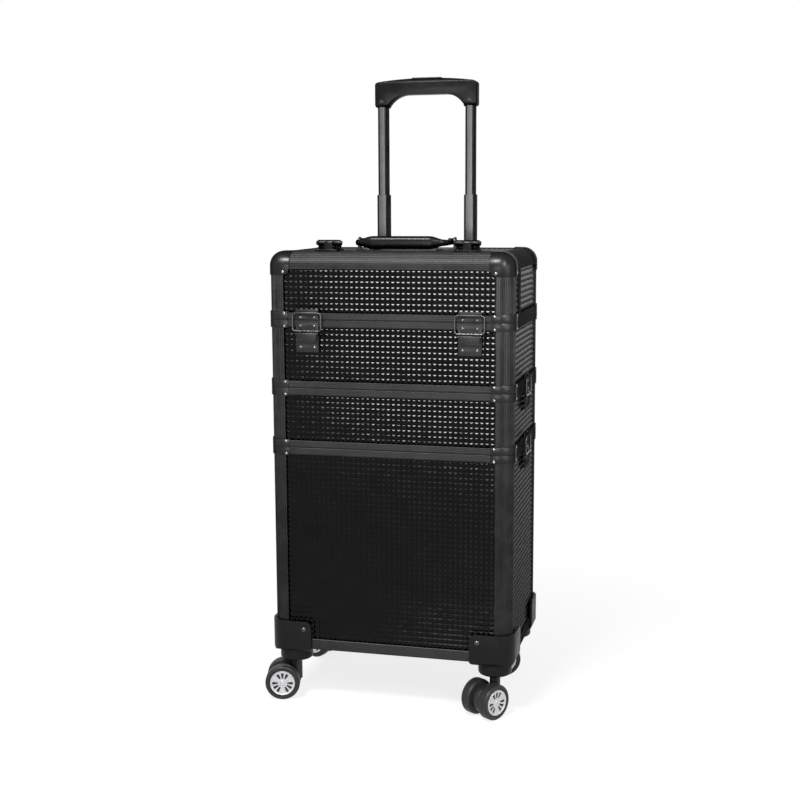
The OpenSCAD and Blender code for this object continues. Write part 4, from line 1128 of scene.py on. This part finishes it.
def caster_body(corner):
    """The stem, the flared neck, the round body between the wheels and the axle."""
    at = caster_matrix(corner)
    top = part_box("caster_sockets")[0].z
    flare_r = NECK_R + 0.003
    flare_top = top - 0.0007
    neck = lathe([(0, NECK_FOOT), (NECK_R, NECK_FOOT), (NECK_R, top - 0.006), (flare_r, top - 0.002),
                  (flare_r, flare_top), (STEM_R, flare_top), (STEM_R, top + STEM_H),
                  (0, top + STEM_H)], 32, caster_finish)
    half = (WHEEL_PITCH - WHEEL_W) / 2 - 0.001
    rim = WHEEL_R - 0.006
    side = [(0, -half), (rim - 0.002, -half), (rim - 0.0006, -half + 0.0006), (rim, -half + 0.002),
            (rim + 0.0008, -0.001)]
    disc = lathe(side + [(r, -z) for r, z in reversed(side)], 48, caster_finish)
    axle = lathe([(0, -AXLE_HALF), (AXLE_R, -AXLE_HALF), (AXLE_R, AXLE_HALF), (0, AXLE_HALF)], 16,
                 caster_finish)
    turned = at @ Matrix.Translation((-TRAIL, 0, WHEEL_R)) @ Matrix.Rotation(math.pi / 2, 4, "X")
    form = bmesh.new()
    bmesh.ops.create_cube(form, size=1.0)
    bridge = moved(mesh_of(form), Matrix.Translation((-TRAIL / 2, 0, BRIDGE_Z))
                   @ Matrix.Diagonal((TRAIL, BRIDGE_W, BRIDGE_H, 1)))
    bridge = eased(bridge, 0.002, caster_finish, segments=3)
    return [moved(neck, at), moved(disc, turned), moved(axle, turned), moved(bridge, at)]


def casters():
    for corner in CORNERS:
        wheels = corner + "_wheels"
        piece(corner + "_wheel_pair", wheel_pair(corner), wheels, [wheels])
        piece(corner + "_body", caster_body(corner), corner + "_caster",
              [corner + "_fork"])


# Camera and stage
LENS = 59.289
SENSOR_W = 36
EYE = Vector((0.45667, -1.83503, BASE + 0.63018))
YAW = math.radians(14.3154)
PITCH = math.radians(8.5123)
ROLL = math.radians(-0.2729)
FLOOR_HALF = 30
WHITE = (1, 1, 1, 1)


def camera():
    look = Vector((-math.sin(YAW) * math.cos(PITCH), math.cos(YAW) * math.cos(PITCH), -math.sin(PITCH)))
    right = Vector((math.cos(YAW), math.sin(YAW), 0))
    up = right.cross(look)
    across = right * math.cos(ROLL) + up * math.sin(ROLL)
    upward = -right * math.sin(ROLL) + up * math.cos(ROLL)
    data = bpy.data.cameras.new("camera")
    data.lens = LENS
    data.sensor_width = SENSOR_W
    data.sensor_fit = "HORIZONTAL"
    eye = link("camera", data)
    eye.matrix_world = axes_matrix(across, upward, -look, EYE)
    bpy.context.scene.camera = eye


def softbox(name, place, target, width, height, power, shape="RECTANGLE"):
    data = bpy.data.lights.new(name, "AREA")
    data.shape = shape
    data.size = width
    data.size_y = height
    data.energy = power
    made = link(name, data)
    made.location = place
    made.rotation_euler = (Vector(target) - Vector(place)).to_track_quat("-Z", "Y").to_euler()


def seen_white(tree, surface, other, white):
    """Camera, glossy and transmission rays see the white shader, and all others the other one."""
    path = add_node(tree, "ShaderNodeLightPath").outputs
    either = arithmetic(tree, "MAXIMUM", path["Is Camera Ray"], path["Is Glossy Ray"])
    either = arithmetic(tree, "MAXIMUM", either, path["Is Transmission Ray"])
    mix = add_node(tree, "ShaderNodeMixShader", {"Fac": either, 1: other, 2: white})
    tree.links.new(mix.outputs[0], surface)


def stage():
    scene = bpy.context.scene
    scene.view_settings.view_transform = "Standard"
    world = bpy.data.worlds.new("studio")
    scene.world = world
    world.use_nodes = True
    tree = world.node_tree
    tree.nodes.clear()
    out = add_node(tree, "ShaderNodeOutputWorld")
    dim, full = (add_node(tree, "ShaderNodeBackground", {"Color": WHITE, "Strength": strength})
                 for strength in (0.3, 1.0))
    seen_white(tree, out.inputs["Surface"], dim.outputs[0], full.outputs[0])

    paper = bpy.data.materials.new("Pale floor")
    paper.use_nodes = True
    tree = paper.node_tree
    shader = tree.nodes["Principled BSDF"]
    shader.inputs["Base Color"].default_value = (0.9, 0.9, 0.9, 1)
    shader.inputs["Roughness"].default_value = 0.9
    glow = add_node(tree, "ShaderNodeEmission", {"Color": WHITE, "Strength": 1.0})
    place = add_node(tree, "ShaderNodeTexCoord").outputs["Object"]
    distance = add_node(tree, "ShaderNodeVectorMath", {0: place}, operation="LENGTH").outputs["Value"]
    share = add_node(tree, "ShaderNodeMapRange", {
        "Value": distance, "From Min": 0.2, "From Max": 0.75, "To Min": 0.8, "To Max": 1.0})
    far = add_node(tree, "ShaderNodeMixShader", {
        "Fac": share.outputs[0], 1: shader.outputs[0], 2: glow.outputs[0]})
    seen_white(tree, tree.nodes["Material Output"].inputs["Surface"], shader.outputs[0], far.outputs[0])
    mesh = bpy.data.meshes.new("floor")
    corners = ((-1, -1, 0), (1, -1, 0), (1, 1, 0), (-1, 1, 0))
    mesh.from_pydata([Vector(corner) * FLOOR_HALF for corner in corners], [], [(0, 1, 2, 3)])
    mesh.materials.append(paper)
    floor = link("floor", mesh)

    softbox("key", (-0.43, -1.65, 2.32), (0, -0.1, 0.5), 0.75, 0.44, 83)
    softbox("right", (1.8, -1.2, 0.62), (0.1, -0.05, 0.52), 1.2, 1.1, 10, "ELLIPSE")
    softbox("window", (1.12, -1.61, 1.45), (0.13, -0.1, 0.55), 0.22, 1.0, 28)
    softbox("front", (-0.15, -2.5, 0.6), (0.1, -0.1, 0.6), 0.7, 0.5, 9)
    softbox("left", (-2.0, -1.2, 1.2), (0, 0, 0.4), 0.8, 1.4, 1.5)
    softbox("back", (0.9, 1.9, 1.7), (0.1, 0, 0.4), 0.9, 0.7, 5)


camera()
stage()
finish_frame_nodes()
frames()
lid_frames()
corner_fittings()
latch_plates()
latch_parts("_lever", "_plate", "latch_lever", 0.0003, lever_finish)
guards()
telescope()
soft_fittings()
carry_handle()
latch_parts("_bail", "_wire", "latch_wire", 0.00025, wire_finish, 60)
casters()
tier_studs()
lid_studs()
